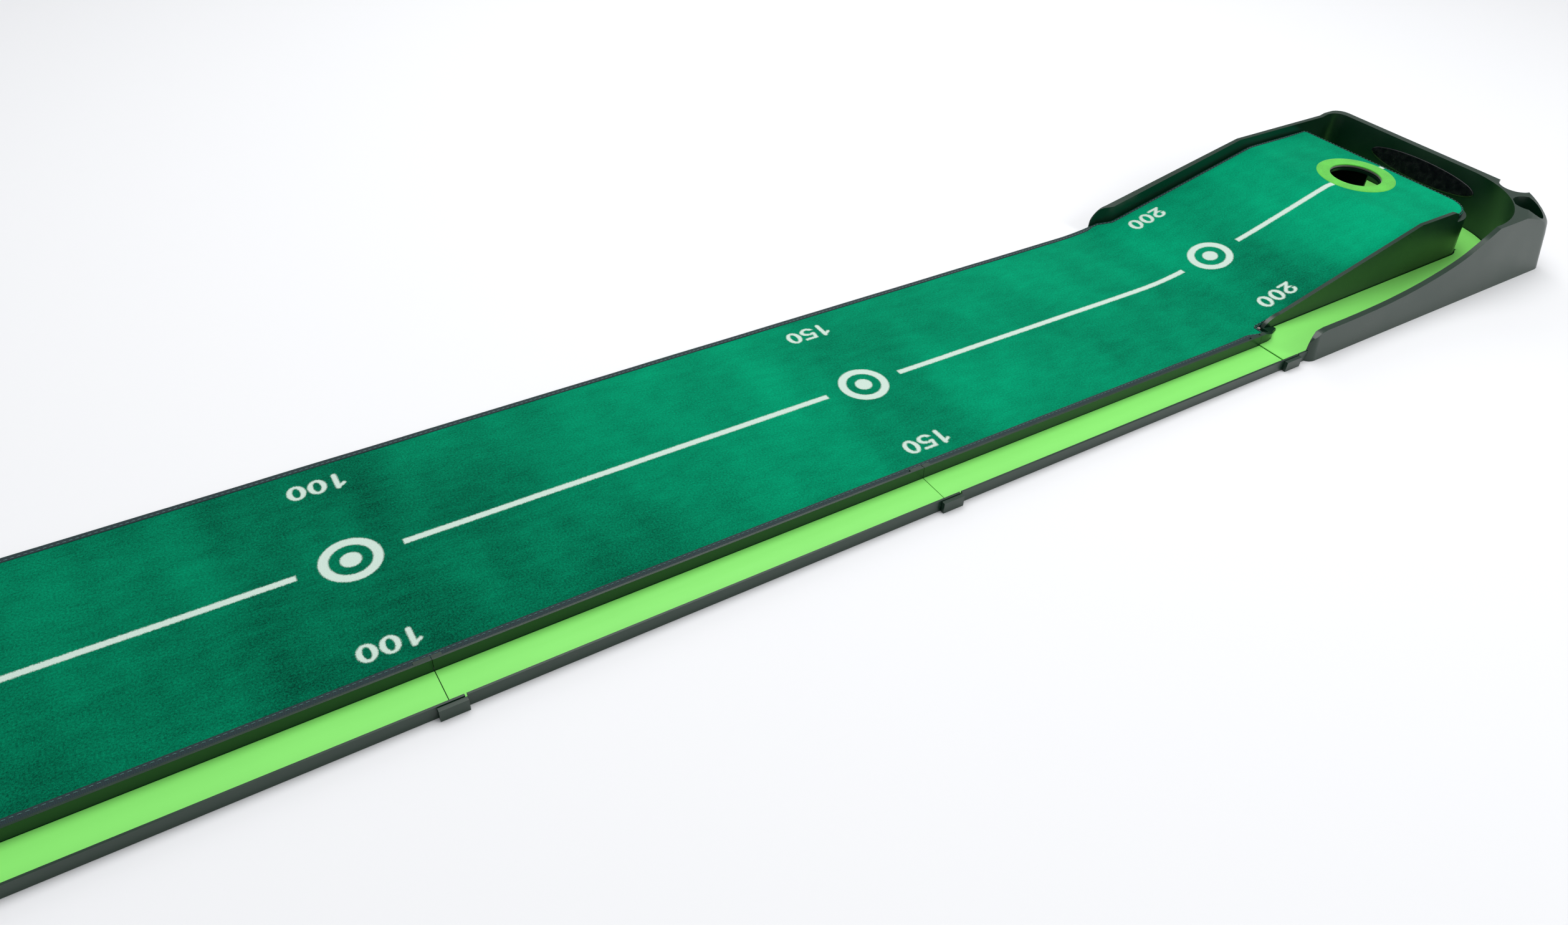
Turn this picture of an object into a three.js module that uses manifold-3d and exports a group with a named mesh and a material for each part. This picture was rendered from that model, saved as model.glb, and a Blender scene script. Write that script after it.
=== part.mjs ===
// Practice putting mat: a velour putting strip that climbs a moulded hole unit, and a clip-together
// channel beside it that rolls the ball back to the player.
// Millimetres, +Z up. +X runs from the player to the hole, measured from the joint between the hole
// unit and the first channel, and the return channel lies on the -Y side. The finished group is
// centred on its own footprint.
import * as THREE from 'three';
import { mergeVertices } from 'three/addons/utils/BufferGeometryUtils.js';
import Module from 'manifold-3d';

const wasm = await Module();
wasm.setup();

// ---------------------------------------------------------------- driving dimensions
const gap = 0.3; // clearance between separate pieces that touch
const skin = 0.2; // clearance under a strip that lies on its floor
const far = 5000; // larger than anything here, for cutting tools

const mat = { reach: 1989, halfWidth: 134, thick: 3.4, frontRadius: 8 }; // reach: joint to player's end
const tape = { width: 10, thick: 0.5 };

const trayLength = 453; // from the joint to the back of the hole unit
const trayHeight = 76;
const laneWidth = 42; // over both channel walls
const matFront = -mat.reach;

const track = {
  sections: 4,
  endLength: 205, // the tray that closes the channel at the player's end
  near: -(mat.halfWidth + 6 + laneWidth), // outer face of the outer wall
  far: -(mat.halfWidth + 6), // mat-side face of the inner wall
  wall: 2,
  base: 2,
  outerHeight: 12,
  innerHeight: 15,
  endRadius: 16,
};
const pitch = (mat.reach - track.endLength) / track.sections;
const socket = { reach: 11, wall: 4.3, height: 11, tongue: 10 }; // outer joint, centred on the seam
const clip = { root: 13, block: 8, width: 3, height: 14.6, pin: 6.5, lap: 0.5, cheek: 0.7, shelf: 3 };

const deckBack = trayLength - 76;
const deck = {
  front: 13, // where the ramp's thin front edge lies on the ground
  frontHeight: 0.9,
  topStart: deckBack - 109, // end of the ramp and start of the flat top
  height: 57.6,
  back: deckBack,
  near: -(mat.halfWidth - 8.5), // outer face of the near side wall
  far: mat.halfWidth - 6.8, // outer face of the far side wall
  wall: 2.5,
  plate: 3,
  cornerRadius: 32,
  footRadius: 20, // the same corner where it meets the floor
  farRadius: 3,
};
const rim = { width: 4.5, rise: 14, start: 23, nose: 26, flat: 4, end: deckBack - 51, drop: 8, foot: 4 };
const exit = { near: -45, far: 20, depth: 12 }; // opening in the deck's back wall for the ball
const matOnDeck = {
  near: deck.near + 5.7,
  far: deck.far - 1.2,
  notchNear: 16,
  notchFar: 26,
  notchLength: 16,
};
const hole = { x: deckBack - 52.5, y: 7, radius: 29.5, ringRadius: 46.5, ringThick: 0.5 };

const tray = {
  bodyFrontFar: 15,
  bodyFrontNear: 22,
  frontLean: 3,
  back: trayLength,
  near: track.near - 5.5,
  far: mat.halfWidth + 4,
  height: trayHeight,
  farHeight: trayHeight - 2, // top of the far side wall
  draftBack: 5,
  draftFar: 5,
  draftNear: 10,
  noseRadius: 12,
  backRadius: 16,
  shoulder: 46, // above this height the near back corner rounds off into the top
  shoulderRadius: 22,
  topRadius: 46,
  farFrontRadius: 3,
  innerBack: trayLength - 20.5,
  innerNear: track.near + 1.6,
  innerNearLean: 8.4, // the lane's outer wall leans in over its full height
  innerFar: mat.halfWidth - 6.2,
  innerDraft: 5.5, // how much further out the inside is at the top of the back wall
  innerFarRadius: 16,
  bowlRadius: 104,
  bowlTaper: 4,
  mouth: 1.3, // clearance beside the mat where it enters
  wall: 3,
  floorThick: 3,
};
const laneFloor = { start: 3.1, slope: 0.0145, crossSlope: 0.012, step: deck.near + 4.3 };
const drop = { x: deckBack - 3, rise: 1, slope: 0.05 }; // floor under the hole, rolls the ball backwards
const openFront = deckBack - 99; // the tray has no floor under the ramp in front of this
const ballPocket = { radius: 18.8, floor: 34, fromBowl: [127.5, 123.4], angles: [-24, -46], web: 1.6 }; // web: least wall left to the bowl
const cornerSlope = {
  x: trayLength - 10, y: track.near + 41, heading: -149.5, reach: 150, depth: 120,
  fall: 0.4, sag: 0.0095, // drop for each mm along the fall, and its growth
};

// Side outlines (x, z) of the wall tops.
const farWallTop = { nose: [15, 4], noseEnd: [38, 29], full: deckBack - 128, step: trayLength - 43, rise: 12 };
const nearWallTop = {
  nose: [[25, 20], [29, 26], [36, 30.5]],
  ramp: [[-283, 32], [-231, 32.5], [-181, 34.5], [-129, 39.5], [-83, 47], [-54, 54], [-31, 62.5]]
    .map(([x, z]) => [rim.end + 3 + x, z]),
  full: rim.end + 3,
};

const liner = { thick: 1 };
const screw = { radius: 1.7, headRadius: 3.6, headHeight: 2.2, headBase: 0.6, length: 16, taper: 2 };
const screwHole = { bossRadius: 5.5, padRadius: 8, bore: 2.1, counterbore: 4, depth: 3.2 };
const crossBar = { x: 164, width: 30, height: 6 }; // tie across the tray under the ramp
const screwSpots = [
  [crossBar.x, deck.far - 43.2],
  [crossBar.x, deck.near + 41.5],
  [deckBack - 86, deck.far - 29.2],
  [deckBack - 86, deck.near + 27.5],
];
const label = { length: 146, height: 27, thick: 0.6, y: -11.5, z: trayHeight - 25 };
const peg = { x: 20, y: deck.near + 2.5, radius: 1.7, height: 5 };
const above = trayHeight + 60; // clear of everything, for cutting tools
const below = -30;

// ---------------------------------------------------------------- materials
const finish = (name, color, roughness, metalness = 0) =>
  Object.assign(new THREE.MeshStandardMaterial({ color, roughness, metalness }), { name });
const darkPlastic = () => finish('dark green plastic', 0x3d5551, 0.45);
const limeSheet = () => finish('lime sheet', 0x8fea78, 0.55);
const velour = () => finish('green velour', 0x008a66, 0.95);
const tapeCloth = () => finish('teal binding', 0x11424d, 0.85);
const feltRing = () => finish('lime velour', 0x5ede4b, 0.95);
const steel = () => finish('zinc steel', 0xb9bdc0, 0.35, 1);
const gloss = () => finish('black label', 0x0b0c12, 0.25);

// ---------------------------------------------------------------- shape tools
const solidFrom = (geometry) => {
  const bare = geometry.clone();
  bare.deleteAttribute('normal');
  bare.deleteAttribute('uv');
  const merged = mergeVertices(bare, 1e-4);
  return new wasm.Manifold(new wasm.Mesh({
    numProp: 3,
    vertProperties: new Float32Array(merged.attributes.position.array),
    triVerts: new Uint32Array(merged.index.array),
  }));
};

const geometryFrom = (solid) => {
  const mesh = solid.getMesh();
  const geometry = new THREE.BufferGeometry();
  geometry.setAttribute('position', new THREE.BufferAttribute(new Float32Array(mesh.vertProperties), 3));
  geometry.setIndex(new THREE.BufferAttribute(new Uint32Array(mesh.triVerts), 1));
  geometry.computeVertexNormals();
  return geometry;
};

// Corner points [x, y, radius] to an outline with round corners; every corner gets the same steps.
const rounded = (corners, steps = 6) => {
  const points = [];
  corners.forEach(([x, y, radius = 0, own = steps], i) => {
    const [px, py] = corners[(i + corners.length - 1) % corners.length];
    const [nx, ny] = corners[(i + 1) % corners.length];
    if (radius <= 0) {
      points.push(new THREE.Vector2(x, y));
      return;
    }
    const before = new THREE.Vector2(px - x, py - y).normalize();
    const after = new THREE.Vector2(nx - x, ny - y).normalize();
    const half = Math.acos(THREE.MathUtils.clamp(before.dot(after), -1, 1)) / 2;
    const reach = radius / Math.tan(half);
    const middle = before.clone().add(after).normalize().multiplyScalar(radius / Math.sin(half));
    const centre = new THREE.Vector2(x, y).add(middle);
    const start = new THREE.Vector2(x, y).addScaledVector(before, reach).sub(centre);
    const end = new THREE.Vector2(x, y).addScaledVector(after, reach).sub(centre);
    const a0 = start.angle();
    let turn = end.angle() - a0;
    if (turn > Math.PI) turn -= 2 * Math.PI;
    if (turn < -Math.PI) turn += 2 * Math.PI;
    for (let k = 0; k <= own; k += 1) {
      const a = a0 + (turn * k) / own;
      points.push(new THREE.Vector2(centre.x + radius * Math.cos(a), centre.y + radius * Math.sin(a)));
    }
  });
  return points;
};

const circle = (x, y, radius, steps = 40) =>
  Array.from({ length: steps }, (_, k) => {
    const a = (2 * Math.PI * k) / steps;
    return new THREE.Vector2(x + radius * Math.cos(a), y + radius * Math.sin(a));
  });

const box2 = (x0, y0, x1, y1) => [[x0, y0], [x1, y0], [x1, y1], [x0, y1]].map((p) => new THREE.Vector2(...p));

const extrude = (points, depth, axes) => {
  const shape = new THREE.Shape(points.map((p) => (p.isVector2 ? p : new THREE.Vector2(...p))));
  const geometry = new THREE.ExtrudeGeometry(shape, { depth, bevelEnabled: false });
  return geometry.applyMatrix4(new THREE.Matrix4().makeBasis(...axes));
};
const X = new THREE.Vector3(1, 0, 0);
const Y = new THREE.Vector3(0, 1, 0);
const Z = new THREE.Vector3(0, 0, 1);

// A plan outline raised from z0 to z1; a side outline (x, z) from y0 to y1; an end outline (y, z)
// from x0 to x1.
const prismZ = (points, z0, z1) => solidFrom(extrude(points, z1 - z0, [X, Y, Z]).translate(0, 0, z0));
const prismY = (points, y0, y1) =>
  solidFrom(extrude(points, y1 - y0, [X, Z, Y.clone().negate()]).translate(0, y1, 0));
const prismX = (points, x0, x1) => solidFrom(extrude(points, x1 - x0, [Y, Z, X]).translate(x0, 0, 0));
const block = (x0, x1, y0, y1, z0, z1) => prismZ(box2(x0, y0, x1, y1), z0, z1);

// A solid between two outlines with the same number of points; each end has a height or a
// height function.
const loft = (lower, lowerZ, upper, upperZ) => {
  const height = (z, p) => (typeof z === 'function' ? z(p.x, p.y) : z);
  const count = lower.length;
  const positions = [
    ...lower.flatMap((p) => [p.x, p.y, height(lowerZ, p)]),
    ...upper.flatMap((p) => [p.x, p.y, height(upperZ, p)]),
  ];
  const index = [];
  for (let i = 0; i < count; i += 1) {
    const j = (i + 1) % count;
    index.push(i, j, count + j, i, count + j, count + i);
  }
  THREE.ShapeUtils.triangulateShape(lower, []).forEach(([a, b, c]) => index.push(c, b, a));
  THREE.ShapeUtils.triangulateShape(upper, []).forEach(([a, b, c]) =>
    index.push(count + a, count + b, count + c));
  const geometry = new THREE.BufferGeometry();
  geometry.setAttribute('position', new THREE.BufferAttribute(new Float32Array(positions), 3));
  geometry.setIndex(index);
  return solidFrom(geometry);
};
const slab = (points, z0, z1) => loft(points, z0, points, z1);

const group = new THREE.Group();
const add = (name, solid, material) => {
  const mesh = new THREE.Mesh(geometryFrom(solid), material);
  mesh.name = name;
  group.add(mesh);
};
const union = (...solids) => solids.reduce((a, b) => a.add(b));

// ---------------------------------------------------------------- putting mat and its tape
const rampSlope = (deck.height - deck.frontHeight) / (deck.topStart - deck.front);
const matLift = gap + tape.thick; // the tape under the edge touches the ground
const rampRest = matLift + gap; // mat underside above the deck, over the folded tape
const rampFoot = deck.front + (matLift - deck.frontHeight - rampRest) / rampSlope;

// Side outline of a layer that lies on the ground and up the deck, from `down` under the mat's
// underside to `up` above it.
const strip = (x0, x1, down, up) => {
  const heights = [[x0, matLift], [rampFoot, matLift], [deck.topStart, deck.height + rampRest],
    [x1, deck.height + rampRest]];
  return [
    ...heights.map(([x, z]) => [x, z - down]),
    ...heights.reverse().map(([x, z]) => [x, z + up]),
  ];
};

// Plan outline of the mat, grown outwards by `grow`.
const matPlan = (grow) => rounded([
  [matFront - grow, -mat.halfWidth - grow, mat.frontRadius + grow],
  [matOnDeck.notchNear + grow, -mat.halfWidth - grow],
  [matOnDeck.notchNear + grow, matOnDeck.near - grow],
  [deck.back + grow, matOnDeck.near - grow, deck.cornerRadius + grow],
  [deck.back + grow, matOnDeck.far + grow, 4 + grow],
  [matOnDeck.notchFar + matOnDeck.notchLength, matOnDeck.far + grow],
  [matOnDeck.notchFar, mat.halfWidth + grow],
  [matFront - grow, mat.halfWidth + grow, mat.frontRadius + grow],
], 8);

const matLayer = (grow, down, up) =>
  prismY(strip(matFront - far, deck.back + far, down, up), -mat.halfWidth - far, mat.halfWidth + far)
    .intersect(prismZ(matPlan(grow), -10, 200));

const buildMat = () => {
  const backing = matLayer(-tape.width - gap, matLift, mat.thick); // lies level with the folded tape
  const cutHole = prismZ(circle(hole.x, hole.y, hole.radius + 1), 0, 200);
  const recess = prismZ(circle(hole.x, hole.y, hole.ringRadius + gap, 56), 0, 200)
    .intersect(matLayer(0, -(mat.thick - hole.ringThick - gap), mat.thick + 1));
  add('putting_mat', matLayer(0, 0, mat.thick).add(backing).subtract(cutHole).subtract(recess), velour());
  const ring = prismZ(circle(hole.x, hole.y, hole.ringRadius, 56), 0, 200)
    .intersect(matLayer(0, -(mat.thick - hole.ringThick), mat.thick))
    .subtract(cutHole);
  add('hole_ring_felt', ring, feltRing());
};

const buildTape = () => {
  const outside = matLayer(matLift, matLift, mat.thick + matLift);
  const inside = matLayer(gap, gap, mat.thick + gap);
  const window = prismZ(matPlan(-tape.width), -20, 300);
  const loop = outside.subtract(inside).subtract(window);
  const mitre = tape.width + matLift;
  const ends = {
    front: block(matFront - 20, matFront + mitre, -far, far, -10, 300),
    back: block(deck.back - mitre, deck.back + 20, matOnDeck.near + deck.cornerRadius, far, -10, 300),
  };
  const farSide = block(-far, far, 0, far, -10, 300);
  const nearSide = block(-far, far, -far, 0, -10, 300);
  const clearOfEnds = (solid) => solid
    .subtract(block(matFront - 30, matFront + mitre + gap, -far, far, -10, 300))
    .subtract(block(deck.back - mitre - gap, deck.back + 30, matOnDeck.near + deck.cornerRadius - gap,
      far, -10, 300));
  add('edge_binding_far', clearOfEnds(loop.intersect(farSide)), tapeCloth());
  add('edge_binding_near', clearOfEnds(loop.intersect(nearSide)), tapeCloth());
  add('edge_binding_player_end', loop.intersect(ends.front), tapeCloth());
  add('edge_binding_hole_end', loop.intersect(ends.back), tapeCloth());
};

// ---------------------------------------------------------------- floor of the hole unit
const laneZ = (x, y) => laneFloor.start + laneFloor.slope * x
  + laneFloor.crossSlope * Math.max(0, y - laneFloor.step);
const dropZ = (x, y) => laneZ(drop.x, y) + drop.rise + drop.slope * (drop.x - x);
const lanePlan = (grow) => box2(below, tray.near - far, deck.back + far, laneFloor.step + grow);
const gapPlan = box2(openFront, laneFloor.step, deck.back + far, tray.far + far);
const dropPlan = box2(openFront, laneFloor.step, drop.x, deck.far);
const floorSolid = (rise) => union(
  slab(lanePlan(0), -20, (x, y) => laneZ(x, y) + rise),
  slab(gapPlan, -20, (x, y) => laneZ(x, y) + rise),
  slab(dropPlan, -20, (x, y) => dropZ(x, y) + rise),
);

// ---------------------------------------------------------------- hole unit tray
const trayOutline = (inset, lean, nearBackRadius) => {
  const near = tray.near + lean * tray.draftNear + inset;
  const back = tray.back - lean * tray.draftBack - inset;
  const farSide = tray.far - lean * tray.draftFar - inset;
  const nose = tray.bodyFrontNear + lean * tray.frontLean + inset;
  return rounded([
    [nose, near, tray.noseRadius - inset],
    [back, near, nearBackRadius, 14],
    [back, farSide, tray.backRadius],
    [tray.bodyFrontFar + inset, farSide, tray.farFrontRadius - inset / 2],
    [tray.bodyFrontFar + inset, laneFloor.step - inset],
    [nose, laneFloor.step - inset],
  ], 8);
};
const trayOuter = (inset) => {
  const levels = [
    [0, tray.backRadius],
    [tray.shoulder, tray.shoulderRadius],
    ...[0.35, 0.65, 0.85, 1].map((t) => [
      tray.shoulder + t * (tray.height - tray.shoulder),
      tray.shoulderRadius + t * t * (tray.topRadius - tray.shoulderRadius),
    ]),
  ].map(([z, radius]) => ({ z, plan: trayOutline(inset, z / tray.height, radius) }));
  return union(...levels.slice(1).map((upper, i) => loft(levels[i].plan, levels[i].z, upper.plan, upper.z)));
};

const bowlOutline = (grow, top) => {
  const lean = top ? 1 : 0;
  const near = tray.innerNear + lean * tray.innerNearLean - grow;
  const back = tray.innerBack + lean * tray.innerDraft + grow;
  const farSide = tray.innerFar + grow;
  const laneNear = track.near + track.wall - grow;
  const farMouth = mat.halfWidth + tray.mouth + Math.max(0, grow);
  const jog = matOnDeck.notchFar + 2;
  return rounded([
    [-200, laneNear],
    [tray.bodyFrontNear + 2, laneNear],
    [tray.bodyFrontNear + 28, near],
    [back, near, tray.bowlRadius - (1 - lean) * tray.bowlTaper + grow, 44],
    [back, farSide, tray.innerFarRadius, 8],
    [jog + matOnDeck.notchLength, farSide],
    [jog, farMouth],
    [-200, farMouth],
  ]);
};
const bowl = (grow) => loft(bowlOutline(grow, false), -2, bowlOutline(grow, true), tray.height + 0.5);

// The wall tops: each side has its own outline in (x, z).
const arc = (x0, z0, x1, z1, steps = 8) => Array.from({ length: steps + 1 }, (_, k) => {
  const a = (Math.PI / 2) * (k / steps);
  return [x0 + (x1 - x0) * (1 - Math.cos(a)), z0 + (z1 - z0) * Math.sin(a)];
});
const wallTops = () => {
  const backEnd = [[tray.back + 20, above], [tray.back + 20, -1]];
  const farTop = [[-5, -1], [-5, farWallTop.nose[1]], ...arc(...farWallTop.nose, ...farWallTop.noseEnd),
    [farWallTop.full, tray.farHeight], [farWallTop.step, tray.farHeight],
    [farWallTop.step + farWallTop.rise, tray.height + 1], [farWallTop.step + farWallTop.rise + 1, above],
    ...backEnd];
  const ramp = [...nearWallTop.ramp, [nearWallTop.full, tray.height]];
  const curve = new THREE.CatmullRomCurve3(ramp.map(([x, z]) => new THREE.Vector3(x, 0, z)));
  const nearTop = [[below, -1], [below, track.outerHeight], [tray.bodyFrontNear, track.outerHeight],
    ...nearWallTop.nose, ...curve.getPoints(20).map((p) => [p.x, p.z]), [nearWallTop.full + 1, above],
    ...backEnd];
  const backFrom = rim.end - 3; // between the side walls only the back wall stands
  const farSideFrom = 60;
  return union(
    prismY(farTop, farSideFrom, tray.far + 20),
    prismY(nearTop, tray.near - 20, laneFloor.step),
    prismY([[backFrom, -1], [backFrom, above], ...backEnd], laneFloor.step - 1, farSideFrom + 1),
    block(below, backFrom + 1, laneFloor.step - 1, farSideFrom + 1, -1, trayHeight / 2),
  );
};

// Hollows under the double walls, open at the bottom.
const wallHollows = () => {
  const between = trayOuter(tray.wall).subtract(bowl(tray.wall));
  const split = rim.end - 3;
  const sides = [
    [63, split, tray.near, track.near + track.near / -6, nearWallTop.ramp[0][1] - 8],
    [split + 5, tray.back, -70, 100, tray.height - 12],
    [split + 0.2, tray.back, tray.near, -70.2, ballPocket.floor - tray.wall],
  ];
  return union(...sides.map(([x0, x1, y0, y1, top]) => between.intersect(block(x0, x1, y0, y1, -1, top))));
};

// The near back corner's top falls away outwards.
const cornerCut = () => {
  const { fall, sag, reach, depth } = cornerSlope;
  const profile = Array.from({ length: 21 }, (_, k) => (depth * k) / 20)
    .map((y) => [y, tray.height - fall * y - sag * y * y]);
  return prismX([[depth, above], [0, above], ...profile], -reach, reach)
    .rotate([0, 0, cornerSlope.heading])
    .translate([cornerSlope.x, cornerSlope.y, 0]);
};

const ballPockets = () => {
  const x = tray.innerBack + tray.innerDraft - tray.bowlRadius;
  const y = tray.innerNear + tray.innerNearLean + tray.bowlRadius;
  return ballPocket.angles.map((degrees, i) => {
    const a = THREE.MathUtils.degToRad(degrees);
    const reach = ballPocket.fromBowl[i];
    return prismZ(circle(x + reach * Math.cos(a), y + reach * Math.sin(a), ballPocket.radius),
      ballPocket.floor, above).subtract(bowl(ballPocket.web));
  });
};

// ---------------------------------------------------------------- joint between channels
// Outer side: a block on one section, centred on the seam, that its neighbour's wall slides behind.
const socketBlock = (x) => union(
  block(x - socket.reach, x + socket.reach, track.near - socket.wall, track.near - gap, 0, socket.height),
  block(x, x + socket.reach, track.near - socket.wall, track.near + 0.1, 0, track.base),
);
// Mat side: a pin on one section that plugs into a block on its neighbour.
const clipBlock = (x) =>
  block(x, x + clip.block, track.far - clip.lap, track.far + clip.width, 0, clip.height);
const clipSlot = (x) => block(x - 1, x + clip.pin + gap, track.far + clip.cheek - gap / 2,
  track.far + clip.width - clip.cheek, clip.shelf, clip.height - clip.shelf);
const clipPin = (x) => union(
  block(x - clip.root, x - gap, track.far - clip.lap, track.far + clip.width, 0, clip.height),
  block(x - gap - 1, x + clip.pin, track.far + clip.cheek + gap / 2, track.far + clip.width - clip.cheek - gap,
    clip.shelf + gap, clip.height - clip.shelf - gap),
);

// Low inner wall of the lane between the channel joint and the foot of the deck.
const lipInside = [[12, track.far - track.wall], [20, track.far], [28, deck.near - 9.5], [38, deck.near - 6]];
const lipOutline = [[0, track.far - track.wall], ...lipInside, [38, deck.near - 1.8],
  [rim.start - 3, deck.near - 1.8], [rim.start - 4.5, track.far + 3.5], [0, track.far + clip.width]];
// The lip's top falls away from the joint towards the deck's side wall.
const lipFall = [[-1, -1], [-1, track.innerHeight], [7, track.innerHeight], [22, 9.5], [39, 6.5], [39, -1]];

const buildTray = () => {
  const shell = trayOuter(0).intersect(wallTops());
  const room = bowl(0).subtract(floorSolid(0));
  const openFloor = bowl(0).intersect(block(below, openFront, laneFloor.step, far, below, above));
  const underFloor = bowl(-tray.wall / 2).intersect(floorSolid(-tray.floorThick))
    .subtract(block(below, 60, -far, far, below, above));
  const frontEnd = socket.reach + gap;
  const front = union(
    block(0, rim.start - 4, track.near, track.far, 0, laneFloor.start),
    block(rim.start - 4.5, tray.bodyFrontNear + 14, track.near, deck.near - 2, 0, laneFloor.start),
    socketBlock(0),
    block(frontEnd, tray.bodyFrontNear + 12, track.near, track.near + track.wall, 0, track.outerHeight),
    clipBlock(0),
    prismZ(lipOutline, 0, track.innerHeight).intersect(prismY(lipFall, -far, far)),
  ).subtract(clipSlot(0));
  const bar = block(crossBar.x - crossBar.width / 2, crossBar.x + crossBar.width / 2, laneFloor.step - 1,
    tray.innerFar + 1, 0, crossBar.height);
  let body = shell.subtract(union(room, openFloor, underFloor, wallHollows(), cornerCut(), ...ballPockets()))
    .subtract(block(-20, frontEnd, -far, far, below, above))
    .add(front)
    .add(bar);
  screwSpots.forEach(([x, y]) => {
    const pad = prismZ(circle(x, y, screwHole.padRadius, 24), 0, above).intersect(floorSolid(-skin));
    body = x > openFront ? body.add(pad) : body;
    body = body.subtract(prismZ(circle(x, y, screwHole.bore, 20), below, above))
      .subtract(prismZ(circle(x, y, screwHole.counterbore, 20), below, screwHole.depth));
  });
  add('hole_unit_tray', body, darkPlastic());
};

// ---------------------------------------------------------------- ramp deck over the tray
// The side outline runs down past the floor and is cut off there.
const deckSide = (inset) => [[deck.front, below], [deck.front, deck.frontHeight - inset],
  [deck.topStart, deck.height - inset], [deck.back + far, deck.height - inset], [deck.back + far, below]];
const deckPlan = (inset, radius = deck.cornerRadius) => rounded([
  [deck.front + inset, deck.near + inset],
  [deck.back - inset, deck.near + inset, radius - inset],
  [deck.back - inset, deck.far - inset, deck.farRadius],
  [deck.front + inset, deck.far - inset],
], 10);
const deckBlock = (inset) => union(
  loft(deckPlan(inset, deck.footRadius), 0, deckPlan(inset), deck.height),
  prismZ(deckPlan(inset), deck.height, above),
);

const buildDeck = () => {
  const side = (inset) => prismY(deckSide(inset), deck.near - 50, deck.far + 50);
  const full = side(0).intersect(deckBlock(0));
  const hollow = side(deck.plate).intersect(deckBlock(deck.wall));
  const top = deck.height + rim.rise;
  const fall = [rim.end + rim.drop, top - 3];
  const rimSide = [[rim.start, below], [rim.start, 2.5],
    ...arc(rim.start + 1, 3, rim.start + rim.nose, rim.rise + 4.4),
    [deck.topStart - rim.flat, top], [rim.end, top], fall, [fall[0] + rim.foot, deck.height - skin],
    [fall[0] + rim.foot, below]];
  const nearRim = prismY(rimSide, deck.near, deck.near + rim.width).intersect(deckBlock(0));
  const door = block(deck.back - exit.depth, deck.back + exit.depth, exit.near, exit.far, below,
    deck.height - deck.plate);
  const bosses = screwSpots.map(([x, y]) =>
    prismZ(circle(x, y, screwHole.bossRadius, 24), below, above).intersect(side(1)));
  let body = union(full.subtract(hollow), nearRim, ...bosses).subtract(door)
    .subtract(prismZ(circle(hole.x, hole.y, hole.radius), 0, above));
  screwSpots.forEach(([x, y]) => {
    body = body.subtract(prismZ(circle(x, y, screwHole.bore, 20), below, screw.headBase + screw.length + 1));
  });
  const ground = block(deck.front - 10, deck.back + 50, -far, far, 2 * below, gap);
  const overBar = block(crossBar.x - crossBar.width / 2 - gap, crossBar.x + crossBar.width / 2 + gap, -far, far,
    2 * below, crossBar.height + gap);
  add('ramp_deck', body.subtract(union(floorSolid(gap), ground, overBar)), darkPlastic());
};

const deckTop = (x) => Math.min(deck.height, deck.frontHeight + rampSlope * (x - deck.front));

const buildScrews = () => {
  screwSpots.forEach(([x, y], i) => {
    const under = screw.headBase + screw.headHeight;
    const top = screw.headBase + screw.length;
    const profile = [[0, screw.headBase], [screw.headRadius, screw.headBase], [screw.headRadius, under],
      [screw.radius, under], [screw.radius, top - screw.taper], [0, top]];
    const lathe = new THREE.LatheGeometry(profile.map((p) => new THREE.Vector2(...p)), 20);
    lathe.rotateX(Math.PI / 2).translate(x, y, 0);
    add(`deck_screw_${i + 1}`, solidFrom(lathe), steel());
  });
};

// ---------------------------------------------------------------- lime liner of the hole unit
const buildTrayLiner = () => {
  const sheet = floorSolid(skin + liner.thick).subtract(floorSolid(skin));
  const inside = bowl(-gap - 0.6);
  const dropEdge = block(-far, drop.x + gap, laneFloor.step, far, below, above);
  const islandFoot = prismZ(deckPlan(-gap - 0.5, deck.footRadius), below, above)
    .subtract(block(drop.x, deck.back + 20, exit.near + 1, exit.far - 1, below, above));
  const laneFront = block(-far, gap, -far, far, below, above);
  const frontWalls = union(
    block(-1, tray.bodyFrontNear + 14, -far, track.near + track.wall + gap, below, above),
    prismZ([[-1, track.far - track.wall - gap], ...lipInside.map(([x, y]) => [x, y - gap]),
      [38 + gap, deck.near - 6 - gap], [38 + gap, -50], [-1, -50]], below, above),
  );
  add('hole_unit_lane_liner',
    sheet.intersect(inside).subtract(dropEdge).subtract(islandFoot).subtract(laneFront).subtract(frontWalls),
    limeSheet());
};

// ---------------------------------------------------------------- label on the back wall
const buildLabel = () => {
  const oval = Array.from({ length: 48 }, (_, k) => {
    const a = (2 * Math.PI * k) / 48;
    return [label.y + (label.length / 2) * Math.cos(a), label.z + (label.height / 2) * Math.sin(a)];
  });
  const follow = bowl(-gap).subtract(bowl(-gap - label.thick));
  add('instruction_label', follow.intersect(prismX(oval, deck.back, tray.back)), gloss());
};

const buildPeg = () => {
  const x = peg.x;
  const z = deckTop(x + peg.radius) + gap;
  add('mat_corner_peg', prismZ(circle(x, peg.y, peg.radius, 20), z, z + peg.height), darkPlastic());
};

// ---------------------------------------------------------------- return channel
const channelSolid = (x0, x1) => {
  const outerY = track.near + track.wall;
  const innerY = track.far - track.wall;
  return union(
    block(x0, x1, track.near, track.far, 0, track.base),
    socketBlock(x0),
    block(x0 + socket.reach + gap, x1, track.near, outerY, 0, track.outerHeight),
    block(x1 - 1, x1 + socket.tongue, track.near, outerY, laneFloor.start + gap, track.outerHeight),
    block(x0, x1, innerY, track.far, 0, track.innerHeight),
    clipBlock(x0),
    clipPin(x1),
  ).subtract(clipSlot(x0));
};

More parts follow.
